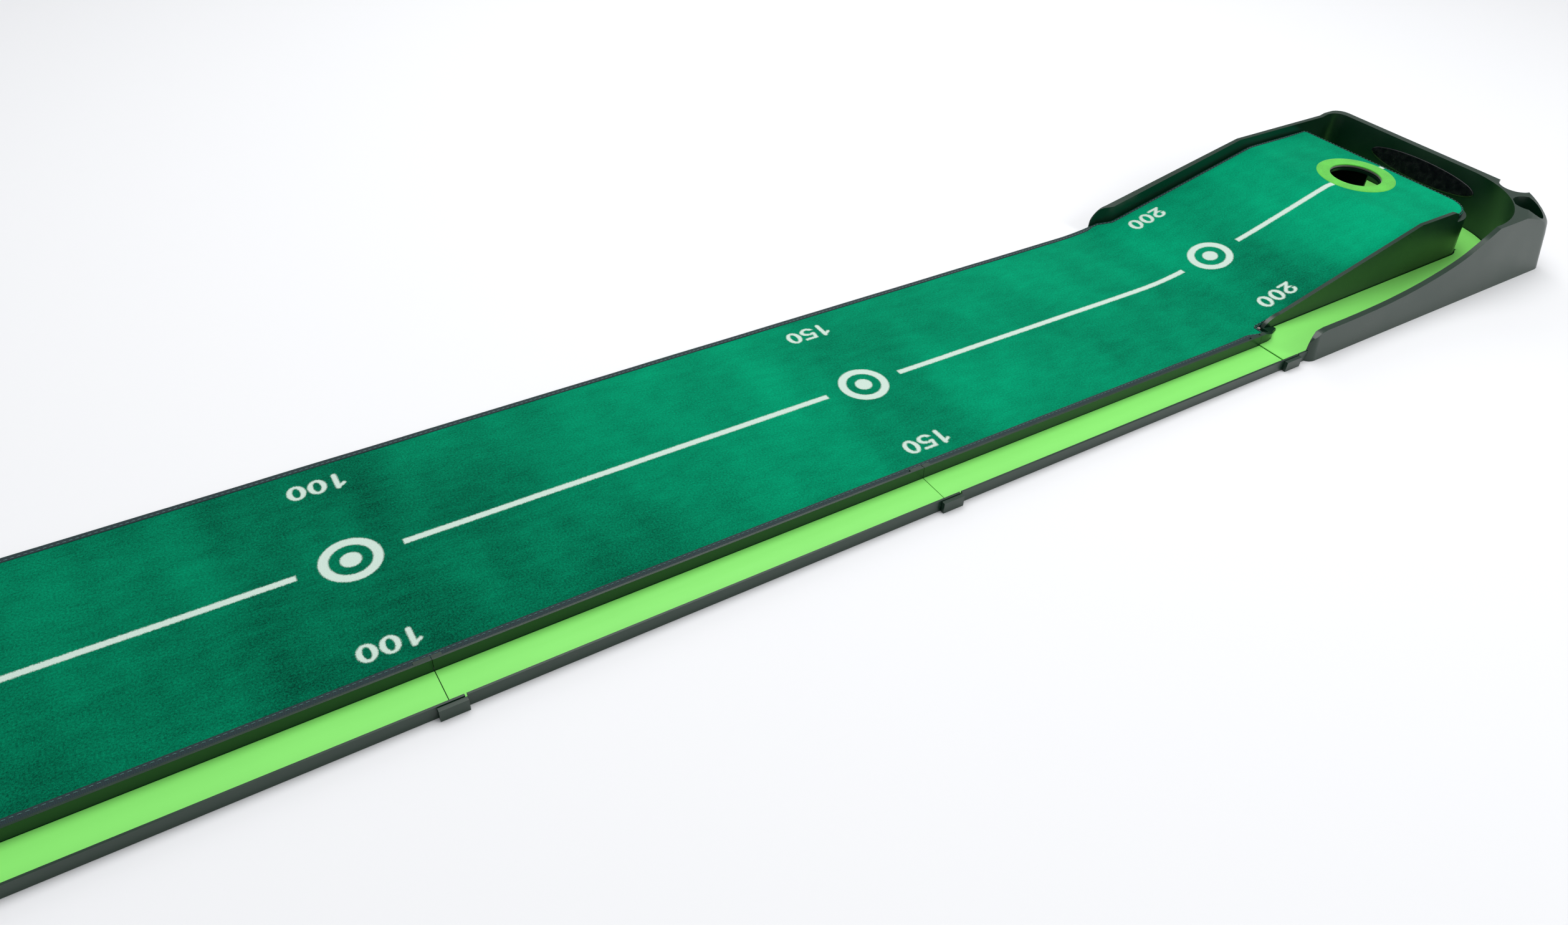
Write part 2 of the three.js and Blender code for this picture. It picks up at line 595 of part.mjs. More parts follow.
const linerSolid = (x0, x1) => {
  const bottom = track.base + skin;
  return block(x0 + gap / 2, x1 - gap / 2, track.near + track.wall + gap, track.far - track.wall - gap, bottom,
    bottom + liner.thick);
};

const buildTrack = () => {
  for (let k = 0; k < track.sections; k += 1) {
    const x1 = -k * pitch - gap / 2;
    const x0 = -(k + 1) * pitch + gap / 2;
    add(`channel_section_${k + 1}`, channelSolid(x0, x1), darkPlastic());
    add(`channel_liner_${k + 1}`, linerSolid(x0, x1), limeSheet());
  }
};

const buildEndTray = () => {
  const x1 = -track.sections * pitch - gap / 2;
  const plan = (inset) => rounded([
    [matFront + inset, track.near + inset, track.endRadius - inset],
    [x1, track.near + inset],
    [x1, track.far - inset],
    [matFront + inset, track.far - inset, track.endRadius - inset],
  ], 8);
  const openEnd = block(x1 - 1, x1 + 5, track.near + track.wall, track.far - track.wall, track.base, 60);
  const walls = prismZ(plan(0), 0, track.innerHeight)
    .subtract(prismZ(plan(track.wall), track.base, 60)).subtract(openEnd);
  const outerTongue = union(
    block(x1 - 1, x1 + socket.tongue, track.near, track.near + track.wall, laneFloor.start + gap,
      track.outerHeight),
    clipPin(x1),
  );
  add('end_tray', walls.add(outerTongue), darkPlastic());
  const sheet = prismZ(plan(track.wall + gap), track.base + skin, track.base + skin + liner.thick)
    .subtract(block(x1 - gap / 2, x1 + 5, -far, far, -5, 60));
  add('end_tray_liner', sheet, limeSheet());
};

buildMat();
buildTape();
buildTray();
buildDeck();
buildScrews();
buildTrayLiner();
buildLabel();
buildPeg();
buildTrack();
buildEndTray();

const footprint = new THREE.Box3().setFromObject(group);
const middle = footprint.getCenter(new THREE.Vector3());
group.position.set(-middle.x, -middle.y, -footprint.min.z);
group.updateMatrixWorld(true);

export default group;
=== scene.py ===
"""Looks of a practice putting mat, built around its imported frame: velour strip, tape, hole unit, channels."""

import math

import bmesh
import bpy
import numpy as np
from mathutils import Matrix, Vector


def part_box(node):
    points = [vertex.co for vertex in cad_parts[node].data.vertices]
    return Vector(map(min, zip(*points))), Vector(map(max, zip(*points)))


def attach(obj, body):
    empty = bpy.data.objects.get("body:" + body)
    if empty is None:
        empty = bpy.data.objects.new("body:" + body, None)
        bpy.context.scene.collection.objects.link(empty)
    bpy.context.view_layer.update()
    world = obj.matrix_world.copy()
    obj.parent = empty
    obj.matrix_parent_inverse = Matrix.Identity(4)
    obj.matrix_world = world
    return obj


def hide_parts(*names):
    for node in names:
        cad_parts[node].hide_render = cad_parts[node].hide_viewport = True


bl_info = {
    "name": "Practice putting mat",
    "version": (1, 0, 0),
    "blender": (4, 5, 0),
    "location": "3D View > Sidebar > Putting mat",
    "description": "Builds the surfaces and finishes of a practice putting mat around its frame",
    "category": "Object",
}

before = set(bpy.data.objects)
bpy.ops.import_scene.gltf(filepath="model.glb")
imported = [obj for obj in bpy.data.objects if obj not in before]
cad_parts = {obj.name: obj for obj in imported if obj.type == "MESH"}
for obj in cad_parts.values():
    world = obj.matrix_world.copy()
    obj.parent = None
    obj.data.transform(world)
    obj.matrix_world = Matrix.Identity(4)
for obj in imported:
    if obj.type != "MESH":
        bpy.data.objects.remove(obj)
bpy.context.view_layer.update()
MM = 0.001

# Places read from the frame: the mat's own box, the joint between the hole unit and the first channel,
# the middle of the mat's width, and the hole.
SHEET_GAP = 0.3 * MM  # from the joint to the end of the lime sheet
MAT_LOW, MAT_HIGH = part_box("putting_mat")
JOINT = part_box("hole_unit_lane_liner")[0].x - SHEET_GAP
MID = (MAT_LOW.y + MAT_HIGH.y) / 2
RING_LOW, RING_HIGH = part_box("hole_ring_felt")
HOLE_X, HOLE_Y = (RING_LOW.x + RING_HIGH.x) / 2, (RING_LOW.y + RING_HIGH.y) / 2
TOP_Z = MAT_HIGH.z
ZERO_MARK = JOINT - 1.912  # where the printed distances start
NOTCH_NEAR = JOINT + 17.5 * MM  # the strip's near side steps in here
SECTIONS = 4
SCREWS = 4


# ------------------------------------------------------------------------------------ settings
def size(name, default, description):
    """A length setting in metres."""
    return bpy.props.FloatProperty(
        name=name, description=description, default=default, subtype="DISTANCE", unit="LENGTH", precision=5
    )


def fraction(name, default, description):
    """A setting that is a share of another size."""
    return bpy.props.FloatProperty(
        name=name, description=description, default=default, min=0.0, max=1.0, subtype="FACTOR"
    )


def colour(name, default, description):
    """A colour setting, linear RGB."""
    return bpy.props.FloatVectorProperty(
        name=name, description=description, default=default, subtype="COLOR", size=3, min=0.0, max=1.0
    )


def srgb(red, green, blue):
    """Linear values of a colour given as it looks on a screen, 0 to 255."""
    c = np.array([red, green, blue]) / 255
    return tuple(float(x) for x in np.where(c <= 0.04045, c / 12.92, ((c + 0.055) / 1.055) ** 2.4))


class MatSettings(bpy.types.PropertyGroup):
    """The velour strip and its printed marks."""

    thick: size("Thickness", 3.4 * MM, "Velour and backing together")
    lift: size("Lift", 0.8 * MM, "Underside above the floor, over the folded tape")
    ramp_foot: size("Ramp foot", 8.6 * MM, "Where the strip starts to climb, from the joint")
    ramp_crest: size("Ramp crest", 268 * MM, "Where the strip turns level again, from the joint")
    foot_bend: size("Foot bend", 90 * MM, "Length over which the strip curves up at the ramp's foot")
    crest_bend: size("Crest bend", 11 * MM, "Length over which the strip bends at the crest")
    pile: size("Pile", 0.45 * MM, "Depth of the pile's unevenness")
    line_width: size("Line width", 6.4 * MM, "Width of the printed centre line")
    ring_outer: size("Target radius", 25.3 * MM, "Outer radius of a printed target")
    ring_inner: size("Target inner radius", 17.2 * MM, "Inner radius of a printed target")
    dot: size("Dot radius", 8.6 * MM, "Radius of the dot inside a printed target")
    spacing: size("Target spacing", 0.5, "Distance between printed targets")
    last_target: size("Last target", 1.9885, "Arc length of the target on the ramp")
    line_gap: size("Line gap", 42.5 * MM, "From a target's centre to the end of the line")
    digit_height: size("Number height", 19.2 * MM, "Height of the printed numbers")
    digit_pitch: size("Number pitch", 17.3 * MM, "From one digit to the next")
    numbers_far: size("Numbers, far side", 101 * MM, "Numbers' distance from the middle, far side")
    numbers_near: size("Numbers, near side", 102.5 * MM, "Numbers' distance from the middle, near side")
    ramp_number_shift: size("Ramp number shift", 6 * MM, "How much further in the ramp's near number is")
    # The velour's green as lit and as shaded: the strip's colour is blended between the two, which paints light
    # and shade on it.
    bright: colour("Velour, brushed up", srgb(0, 166, 118), "Pile that leans towards the light")
    dark: colour("Velour, shaded", srgb(0, 52, 38), "Pile that leans away from the light")
    mark: colour("Printed marks", srgb(206, 226, 214), "Pale printed marks")
    ring: colour("Hole ring", srgb(96, 214, 66), "Lime velour ring round the hole")


class TapeSettings(bpy.types.PropertyGroup):
    """The folded tape round the strip and its stitches."""

    width: size("Width", 9.2 * MM, "Tape seen from above, near side and player's end")
    far_share: fraction("Far side", 0.7, "Share of the width on the far side")
    ramp_share: fraction("Ramp, far side", 0.4, "Share of the width on the ramp's far side")
    back_share: fraction("Ramp, other edges", 0.2, "Share of the width on the ramp's other edges")
    thick: size("Thickness", 0.5 * MM, "One layer of tape")
    stitch: size("Stitch", 2.9 * MM, "Length of a stitch")
    pitch: size("Stitch pitch", 4.6 * MM, "From one stitch to the next")
    thread: size("Thread", 0.28 * MM, "Thread radius")
    inset: size("Inset", 2.4 * MM, "Stitch line from the tape's inner edge")
    cloth: colour("Tape", srgb(6, 40, 44), "Dark teal woven tape")
    cotton: colour("Thread", srgb(84, 132, 128), "Pale thread")


class HoleUnitSettings(bpy.types.PropertyGroup):
    """The moulded hole unit with its ramp, and the channels."""

    edge: size("Edge radius", 2.4 * MM, "Rounding of the tray's edges")
    deck_edge: size("Deck edge radius", 1.8 * MM, "Rounding of the deck's edges")
    channel_edge: size("Channel edge radius", 0.5 * MM, "Rounding of the channel's edges")
    sheet_edge: size("Sheet edge radius", 0.3 * MM, "Rounding of the lime sheets")
    plastic: colour("Plastic", srgb(2, 40, 22), "Dark green moulded plastic")
    plastic_worn: colour("Plastic, scuffed", srgb(26, 52, 42), "Scuffed plastic")
    lime: colour("Lime sheet", srgb(136, 234, 108), "Lime sheet on the lane floor")
    ink: colour("Label", srgb(10, 13, 18), "Black label")
    steel: colour("Screws", srgb(190, 192, 194), "Zinc-plated steel")
    peg: colour("Peg", srgb(150, 132, 128), "Pinkish grey peg")


class StageSettings(bpy.types.PropertyGroup):
    """Camera, floor and lights."""

    eye: bpy.props.FloatVectorProperty(
        name="Eye", description="Camera's place", default=(-0.2201, -0.7048, 0.6679),
        subtype="TRANSLATION", precision=5
    )
    heading: bpy.props.FloatProperty(
        name="Heading", description="Camera's turn from +X towards +Y", default=0.98185, subtype="ANGLE"
    )
    dip: bpy.props.FloatProperty(
        name="Dip", description="Camera's tilt below the horizon", default=0.69272, subtype="ANGLE"
    )
    roll: bpy.props.FloatProperty(name="Roll", description="Camera's roll", default=0.05415, subtype="ANGLE")
    lens: bpy.props.FloatProperty(name="Lens", description="Focal length in millimetres", default=26.513)
    floor: colour("Floor", (0.86, 0.865, 0.88), "Pale floor")
    sky: colour("Surroundings", (0.97, 0.98, 1.0), "Soft light all round")


SETTINGS = {
    "putting_mat": MatSettings,
    "putting_tape": TapeSettings,
    "putting_hole_unit": HoleUnitSettings,
    "putting_stage": StageSettings,
}


def settings(name):
    """The scene's settings of one group."""
    return getattr(bpy.context.scene, name)


# ------------------------------------------------------------------------------------ mesh tools
def mesh_piece(name, points, faces, body):
    """A new smooth piece from points (n, 3) and faces, riding on a body."""
    mesh = bpy.data.meshes.new(name)
    mesh.from_pydata(np.asarray(points, float).tolist(), [], [list(map(int, f)) for f in faces])
    mesh.validate()
    mesh.polygons.foreach_set("use_smooth", np.full(len(mesh.polygons), True))
    mesh.update()
    piece = bpy.data.objects.new(name, mesh)
    bpy.context.scene.collection.objects.link(piece)
    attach(piece, body)
    return piece


def grid_faces(rows, columns, wrap_rows=False, wrap_columns=False):
    """Quads of a grid of rows by columns, counted row by row, optionally joined end to end."""
    r = np.arange(rows if wrap_rows else rows - 1)
    c = np.arange(columns if wrap_columns else columns - 1)
    i, j = np.meshgrid(r, c, indexing="ij")
    i2, j2 = (i + 1) % rows, (j + 1) % columns
    quads = [i * columns + j, i2 * columns + j, i2 * columns + j2, i * columns + j2]
    return np.stack(quads, -1).reshape(-1, 4)


def set_map(piece, name, values):
    """A UV map from one (u, v) pair for each point."""
    layer = piece.data.uv_layers.new(name=name)
    corner = np.zeros(len(piece.data.loops), int)
    piece.data.loops.foreach_get("vertex_index", corner)
    layer.data.foreach_set("uv", np.asarray(values, float)[corner].ravel())


def face_out(piece):
    """Makes every face of a closed piece point outwards."""
    shape = bmesh.new()
    shape.from_mesh(piece.data)
    bmesh.ops.remove_doubles(shape, verts=shape.verts, dist=1e-6)
    bmesh.ops.recalc_face_normals(shape, faces=shape.faces)
    shape.to_mesh(piece.data)
    shape.free()


def rounded_copy(node, name, body, radius, material, steps=3):
    """A copy of a moulded node with its edges rounded: doubles merged, flat faces joined, then a bevel."""
    flat, sharp = math.radians(0.6), math.radians(28)
    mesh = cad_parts[node].data.copy()
    mesh.name = name
    shape = bmesh.new()
    shape.from_mesh(mesh)
    bmesh.ops.remove_doubles(shape, verts=shape.verts, dist=2e-6)
    bmesh.ops.dissolve_limit(
        shape, angle_limit=flat, verts=shape.verts, edges=shape.edges, use_dissolve_boundaries=False
    )
    for face in shape.faces:
        face.smooth = True
    shape.to_mesh(mesh)
    shape.free()
    mesh.materials.clear()
    mesh.materials.append(material)
    if "custom_normal" in mesh.attributes:
        mesh.attributes.remove(mesh.attributes["custom_normal"])
    piece = bpy.data.objects.new(name, mesh)
    bpy.context.scene.collection.objects.link(piece)
    bevel = piece.modifiers.new("Rounded edges", "BEVEL")
    bevel.width = radius
    bevel.segments = steps
    bevel.limit_method = "ANGLE"
    bevel.angle_limit = sharp
    bevel.use_clamp_overlap = True
    bevel.miter_outer = "MITER_ARC"
    normals = piece.modifiers.new("Even shading", "WEIGHTED_NORMAL")
    normals.keep_sharp = False
    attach(piece, body)
    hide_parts(node)
    return piece


# ------------------------------------------------------------------------------------ material tools
class Finish:
    """A procedural material under construction: a small writer of shader nodes."""

    def __init__(self, name, roughness=0.5, **sockets):
        self.material = bpy.data.materials.new(name)
        self.material.use_nodes = True
        self.tree = self.material.node_tree
        self.shader = self.tree.nodes["Principled BSDF"]
        self.shader.inputs["Roughness"].default_value = roughness
        for socket, value in sockets.items():
            self.shader.inputs[socket.replace("_", " ")].default_value = value

    def node(self, kind, inputs=(), **properties):
        """A node with its properties set and its inputs, by number or name, set or linked."""
        made = self.tree.nodes.new(kind)
        for key, value in properties.items():
            setattr(made, key, value)
        for key, value in dict(inputs).items():
            self.put(made.inputs[key], value)
        return made

    def put(self, socket, value):
        """Links a socket, or sets its value."""
        if isinstance(value, bpy.types.NodeSocket):
            self.tree.links.new(value, socket)
        elif value is not None:
            socket.default_value = value

    def math(self, operation, a, b=None, clamp=False):
        """One step of arithmetic."""
        return self.node("ShaderNodeMath", {0: a, 1: b}, operation=operation, use_clamp=clamp).outputs[0]

    def vector(self, operation, a, b=None, scale=None, out=0):
        """One step of vector arithmetic."""
        made = self.node("ShaderNodeVectorMath", {0: a, 1: b}, operation=operation)
        if scale is not None:
            self.put(made.inputs["Scale"], scale)
        return made.outputs[out]

    def place(self):
        """The point's place on the object."""
        return self.node("ShaderNodeTexCoord").outputs["Object"]

    def map(self, name):
        """The point's place on a UV map."""
        return self.node("ShaderNodeUVMap", uv_map=name).outputs[0]

    def stretch(self, vector, scale, shift=(0, 0, 0), turn=0.0):
        """A vector scaled, shifted and turned about Z."""
        made = self.node("ShaderNodeMapping", {"Vector": vector, "Location": shift, "Scale": scale})
        made.inputs["Rotation"].default_value = (0, 0, turn)
        return made.outputs[0]

    def noise(self, vector, scale, detail=2.0, rough=0.5, out=0):
        """Soft noise, about 0 to 1."""
        inputs = {"Vector": vector, "Scale": scale, "Detail": detail, "Roughness": rough}
        return self.node("ShaderNodeTexNoise", inputs).outputs[out]

    def ramp(self, value, low, high, start=0.0, end=1.0, smooth=True):
        """A value carried from the span low..high to start..end and held at its ends."""
        made = self.node(
            "ShaderNodeMapRange",
            {"Value": value, "From Min": low, "From Max": high, "To Min": start, "To Max": end},
            interpolation_type="SMOOTHSTEP" if smooth else "LINEAR",
        )
        return made.outputs[0]

    def blend(self, factor, a, b):
        """Two colours mixed."""
        made = self.node("ShaderNodeMix", data_type="RGBA")
        self.put(made.inputs["Factor"], factor)
        self.put(made.inputs[6], (*a, 1) if isinstance(a, tuple) else a)
        self.put(made.inputs[7], (*b, 1) if isinstance(b, tuple) else b)
        return made.outputs[2]

    def bump(self, height, depth, strength=1.0, normal=None):
        """Relief from a height of 0 to 1 over a depth in metres."""
        made = self.node("ShaderNodeBump", {"Height": height, "Strength": strength, "Distance": depth})
        self.put(made.inputs["Normal"], normal)
        return made.outputs[0]

    def close(self, colour=None, roughness=None, normal=None):
        """Links the shader's colour, roughness and normal, and gives the material."""
        self.put(self.shader.inputs["Base Color"], colour)
        self.put(self.shader.inputs["Roughness"], roughness)
        self.put(self.shader.inputs["Normal"], normal)
        return self.material


def split(finish, vector):
    """The X, Y and Z outputs of a vector."""
    return finish.node("ShaderNodeSeparateXYZ", {0: vector}).outputs


def plastic_finish():
    """Dark green moulded plastic: fine spark texture, faint flow marks, scuffs that lift the colour."""
    look = settings("putting_hole_unit")
    f = Finish("moulded plastic", 0.4, IOR=1.56)
    at = f.place()
    grain = f.noise(at, 2600, 3, 0.6)
    soft = f.noise(at, 14, 4, 0.55)
    streak = f.noise(f.stretch(at, (6, 60, 60)), 3, 4, 0.6)
    scuff = f.ramp(f.noise(at, 46, 8, 0.72), 0.60, 0.80)
    worn = f.math("MULTIPLY", scuff, f.ramp(streak, 0.42, 0.66, 0.0, 0.5))
    colour = f.blend(worn, tuple(look.plastic), tuple(look.plastic_worn))
    colour = f.blend(f.ramp(soft, 0.35, 0.7, 0.0, 0.22), colour, tuple(look.plastic_worn))
    rough = f.math("ADD", f.ramp(soft, 0.3, 0.7, 0.27, 0.36), f.math("MULTIPLY", worn, 0.2))
    normal = f.bump(grain, 0.04 * MM, 0.45)
    normal = f.bump(soft, 0.5 * MM, 0.2, normal)
    return f.close(colour, rough, normal)


def lime_finish():
    """Lime sheet: smooth, with faint lengthwise rolling marks and specks of dust."""
    look = settings("putting_hole_unit")
    f = Finish("lime sheet", 0.5, IOR=1.45)
    at = f.place()
    rolled = f.noise(f.stretch(at, (8, 420, 60)), 3, 4, 0.6)
    cloud = f.noise(at, 7, 3, 0.5)
    dust = f.ramp(f.noise(at, 900, 2, 0.5), 0.70, 0.80)
    colour = f.blend(f.ramp(cloud, 0.3, 0.7, 0.0, 0.25), tuple(look.lime), tuple(0.86 * x for x in look.lime))
    colour = f.blend(f.math("MULTIPLY", dust, 0.12), colour, (0.9, 0.95, 0.88))
    rough = f.ramp(rolled, 0.3, 0.7, 0.42, 0.56)
    normal = f.bump(rolled, 0.08 * MM, 0.4)
    normal = f.bump(cloud, 0.8 * MM, 0.2, normal)
    return f.close(colour, rough, normal)


# Digits in a frame of their own, in units of the digit's height: across runs along the number and up is
# the digit's top. A digit is a union of rings, each (centre, outer radii, inner radii, span of heights
# where its left side is open), and of round-ended bars, each (start, end, radius).
RINGS = {
    "0": [((0, 0), (0.41, 0.5), (0.165, 0.335), None)],
    "5": [((-0.02, -0.19), (0.42, 0.325), (0.19, 0.165), (-0.25, 0.02))],
    "2": [((0, 0.18), (0.40, 0.325), (0.175, 0.165), (0.02, 0.10))],
}
BARS = {
    "0": [],
    "1": [((0.07, -0.43), (0.07, 0.43), 0.12), ((0.04, 0.40), (-0.22, 0.24), 0.085)],
    "5": [((-0.27, 0.42), (0.33, 0.42), 0.085), ((-0.25, 0.40), (-0.30, 0.05), 0.10),
          ((-0.24, 0.02), (-0.08, 0.09), 0.07)],
    "2": [((0.28, 0.10), (-0.26, -0.38), 0.10), ((-0.32, -0.415), (0.35, -0.415), 0.085)],
}


def bar_distance(f, at, start, end, radius):
    """Signed distance to a round-ended bar: to the nearest point of its axis, less its radius."""
    a = Vector((*start, 0))
    along = Vector((*end, 0)) - a
    from_start = f.vector("SUBTRACT", at, tuple(a))
    reached = f.vector("DOT_PRODUCT", from_start, tuple(along), out=1)
    share = f.math("MULTIPLY", reached, 1 / along.length_squared, clamp=True)
    nearest = f.vector("SCALE", tuple(along), scale=share)
    return f.math("SUBTRACT", f.vector("DISTANCE", from_start, nearest, out=1), radius)


def ellipse_distance(f, at, centre, radii):
    """Signed distance to an ellipse, near enough: the scaled radius less one, times the mean radius."""
    scaled = f.vector("MULTIPLY", f.vector("SUBTRACT", at, (*centre, 0)), (1 / radii[0], 1 / radii[1], 0))
    return f.math("MULTIPLY", f.math("SUBTRACT", f.vector("LENGTH", scaled, out=1), 1), sum(radii) / 2)


def digit_distance(f, at, digit):
    """Signed distance to one digit, in digit heights."""
    parts = [bar_distance(f, at, *bar) for bar in BARS[digit]]
    for centre, outer, inner, opening in RINGS.get(digit, []):
        ring = f.math("MAXIMUM", ellipse_distance(f, at, centre, outer),
                      f.math("MULTIPLY", ellipse_distance(f, at, centre, inner), -1))
        if opening:  # the ring is open on its left, between these heights
            x, y, _ = split(f, at)
            low, high = opening
            beside = f.math("ADD", x, 0.03)
            within = f.math("MAXIMUM", f.math("SUBTRACT", low, y), f.math("SUBTRACT", y, high))
            cut = f.math("MAXIMUM", beside, within)
            ring = f.math("MAXIMUM", ring, f.math("MULTIPLY", cut, -1))
        parts.append(ring)
    nearest = parts[0]
    for part in parts[1:]:
        nearest = f.math("MINIMUM", nearest, part)
    return nearest


def marks_mask(f, at):
    """1 on the printed marks and 0 off them, from the strip's own map: u is the distance from the zero
    mark along the strip, v is across it. The edge wanders a little, as print does on pile."""
    look = settings("putting_mat")
    fuzz = f.noise(at, 1100, 2, 0.6, out=1)
    wander = f.vector("SCALE", f.vector("SUBTRACT", fuzz, (0.5, 0.5, 0.5)), scale=3.0 * MM)
    u, v, _ = split(f, f.vector("ADD", at, wander))
    step = look.spacing
    index = f.math("MINIMUM", f.math("ROUND", f.math("DIVIDE", u, step)), 4.0)
    on_ramp = f.math("GREATER_THAN", index, 3.5)
    pulled_back = f.math("MULTIPLY", on_ramp, 4 * step - look.last_target)
    centre = f.math("SUBTRACT", f.math("MULTIPLY", index, step), pulled_back)
    local = f.math("SUBTRACT", u, centre)
    drift = f.ramp(u, 2.02, 2.24, 0.0, 5.5 * MM)
    across = f.math("SUBTRACT", v, drift)
    apart = f.node("ShaderNodeCombineXYZ", {0: local, 1: v, 2: 0.0}).outputs[0]
    reach = f.vector("LENGTH", apart, out=1)
    outside, inside = f.math("SUBTRACT", reach, look.ring_outer), f.math("SUBTRACT", look.ring_inner, reach)
    ring = f.math("MAXIMUM", outside, inside)
    target = f.math("MINIMUM", ring, f.math("SUBTRACT", reach, look.dot))
    target = f.math("ADD", target, f.math("MULTIPLY", f.math("LESS_THAN", index, 0.5), 1.0))
    off_target = f.math("SUBTRACT", look.line_gap, f.math("ABSOLUTE", local))
    no_target = f.math("MULTIPLY", f.math("LESS_THAN", index, 0.5), look.line_gap)
    off_target = f.math("SUBTRACT", off_target, no_target)
    line = f.math("MAXIMUM", f.math("SUBTRACT", f.math("ABSOLUTE", across), look.line_width / 2), off_target)
    line = f.math("MAXIMUM", line, f.math("SUBTRACT", 0.0, u))
    # Numbers: the word runs towards the player and its top faces the channel.
    far_side = f.math("GREATER_THAN", v, 0.0)
    row_to_row = look.numbers_far + look.numbers_near
    middle = f.math("SUBTRACT", f.math("MULTIPLY", far_side, row_to_row), look.numbers_near)
    inwards = f.math("MULTIPLY", f.math("SUBTRACT", 1.0, far_side), on_ramp)
    middle = f.math("ADD", middle, f.math("MULTIPLY", inwards, look.ramp_number_shift))
    up = f.math("DIVIDE", f.math("SUBTRACT", middle, v), look.digit_height)
    along = f.math("DIVIDE", f.math("SUBTRACT", 0.0, local), look.digit_height)
    pitch = look.digit_pitch / look.digit_height
    shift = f.math("MULTIPLY", f.math("LESS_THAN", index, 1.5), -pitch / 2)
    spots = []
    for k in (-1, 0, 1):
        beside = f.math("SUBTRACT", f.math("ADD", along, shift), k * pitch)
        spots.append(f.node("ShaderNodeCombineXYZ", {0: beside, 1: up, 2: 0.0}).outputs[0])
    odd = f.math("GREATER_THAN", f.math("MODULO", index, 2.0), 0.5)
    no_digit = 1.0  # far outside any digit

    def choose(test, yes, no):
        """yes where test is 1, no where it is 0."""
        otherwise = f.math("MULTIPLY", f.math("SUBTRACT", 1.0, test), no)
        return f.math("ADD", f.math("MULTIPLY", test, yes), otherwise)

    first = choose(on_ramp, digit_distance(f, spots[0], "2"), digit_distance(f, spots[0], "1"))
    first = choose(f.math("LESS_THAN", index, 1.5), no_digit, first)
    middle_digit = choose(odd, digit_distance(f, spots[1], "5"), digit_distance(f, spots[1], "0"))
    number = f.math("MINIMUM", f.math("MINIMUM", first, middle_digit), digit_distance(f, spots[2], "0"))
    number = f.math("ADD", number, f.math("MULTIPLY", f.math("LESS_THAN", index, 0.5), 1.0))
    number = f.math("MULTIPLY", number, look.digit_height)
    nearest = f.math("MINIMUM", f.math("MINIMUM", target, line), number)
    return f.ramp(nearest, 0.8 * MM, -1.0 * MM)


def velour_finish():
    """Green velour: fine pile, clouds where the pile leans this way or that, brushed streaks, and painted
    light: a broad ramp from shade to light, shade near the foot of the ramp, and glints.
    """
    look = settings("putting_mat")
    f = Finish("green velour", 0.92, Sheen_Weight=0.06, Sheen_Roughness=0.5, IOR=1.35)
    f.shader.inputs["Sheen Tint"].default_value = (*srgb(70, 214, 170), 1)
    f.shader.inputs["Specular IOR Level"].default_value = 0.06
    at = f.map("strip")
    pile = f.noise(at, 1300, 2, 0.6)
    tuft = f.noise(at, 560, 3, 0.7)
    glint = f.ramp(f.noise(at, 900, 1, 0.5), 0.68, 0.78)
    cloud = f.noise(f.stretch(at, (9.5, 5.5, 1)), 1.0, 5, 0.55)
    band = f.noise(f.stretch(at, (6.5, 1.2, 1), shift=(3.1, 0.4, 0)), 1.0, 3, 0.5)
    streak = f.noise(f.stretch(at, (34, 90, 1), turn=0.5), 1.0, 4, 0.62)
    u, v, _ = split(f, at)
    # Painted light: a broad ramp darkens the velour towards the player's end and the near side, and brightens
    # it up the ramp and on the far side.
    lean = f.math("ADD", u, f.math("MULTIPLY", v, 1.1))
    shade = f.ramp(lean, 0.5, 1.7, 0.10, 0.62, smooth=False)
    # Painted shade: the velour is darker round the foot of the ramp, most on the near side beside the hole
    # unit's near wall.
    fold = f.math("SUBTRACT", 1.0, f.ramp(f.math("ABSOLUTE", f.math("SUBTRACT", u, 1.99)), 0.0, 0.13))
    beside = f.ramp(v, -0.12, 0.10, 0.26, 0.05)
    shade = f.math("SUBTRACT", shade, f.math("MULTIPLY", fold, beside))
    shade = f.math("ADD", shade, f.ramp(cloud, 0.3, 0.7, -0.12, 0.16, smooth=False))
    shade = f.math("ADD", shade, f.ramp(band, 0.3, 0.7, -0.18, 0.20, smooth=False))
    shade = f.math("ADD", shade, f.ramp(streak, 0.3, 0.7, -0.07, 0.07, smooth=False))
    shade = f.math("ADD", shade, f.ramp(tuft, 0.28, 0.72, -0.20, 0.22, smooth=False))
    shade = f.math("ADD", shade, f.math("MULTIPLY", glint, 0.16))
    shade = f.math("ADD", shade, f.ramp(pile, 0.3, 0.7, -0.12, 0.12, smooth=False), clamp=True)
    green = f.blend(shade, tuple(look.dark), tuple(look.bright))
    white = f.blend(f.ramp(pile, 0.3, 0.7), tuple(0.86 * x for x in look.mark), tuple(look.mark))
    colour = f.blend(marks_mask(f, at), green, white)
    normal = f.bump(pile, look.pile, 0.55)
    normal = f.bump(tuft, 0.8 * MM, 0.35, normal)
    return f.close(colour, None, normal)


def backing_finish():
    """Underside of the strip: grey non-woven backing with fused fibres."""
    f = Finish("strip backing", 0.95)
    at = f.place()
    fibre = f.noise(f.stretch(at, (1, 3, 1)), 700, 5, 0.7)
    colour = f.blend(f.ramp(fibre, 0.35, 0.65), srgb(54, 60, 60), srgb(92, 98, 97))
    return f.close(colour, None, f.bump(fibre, 0.3 * MM, 0.7))


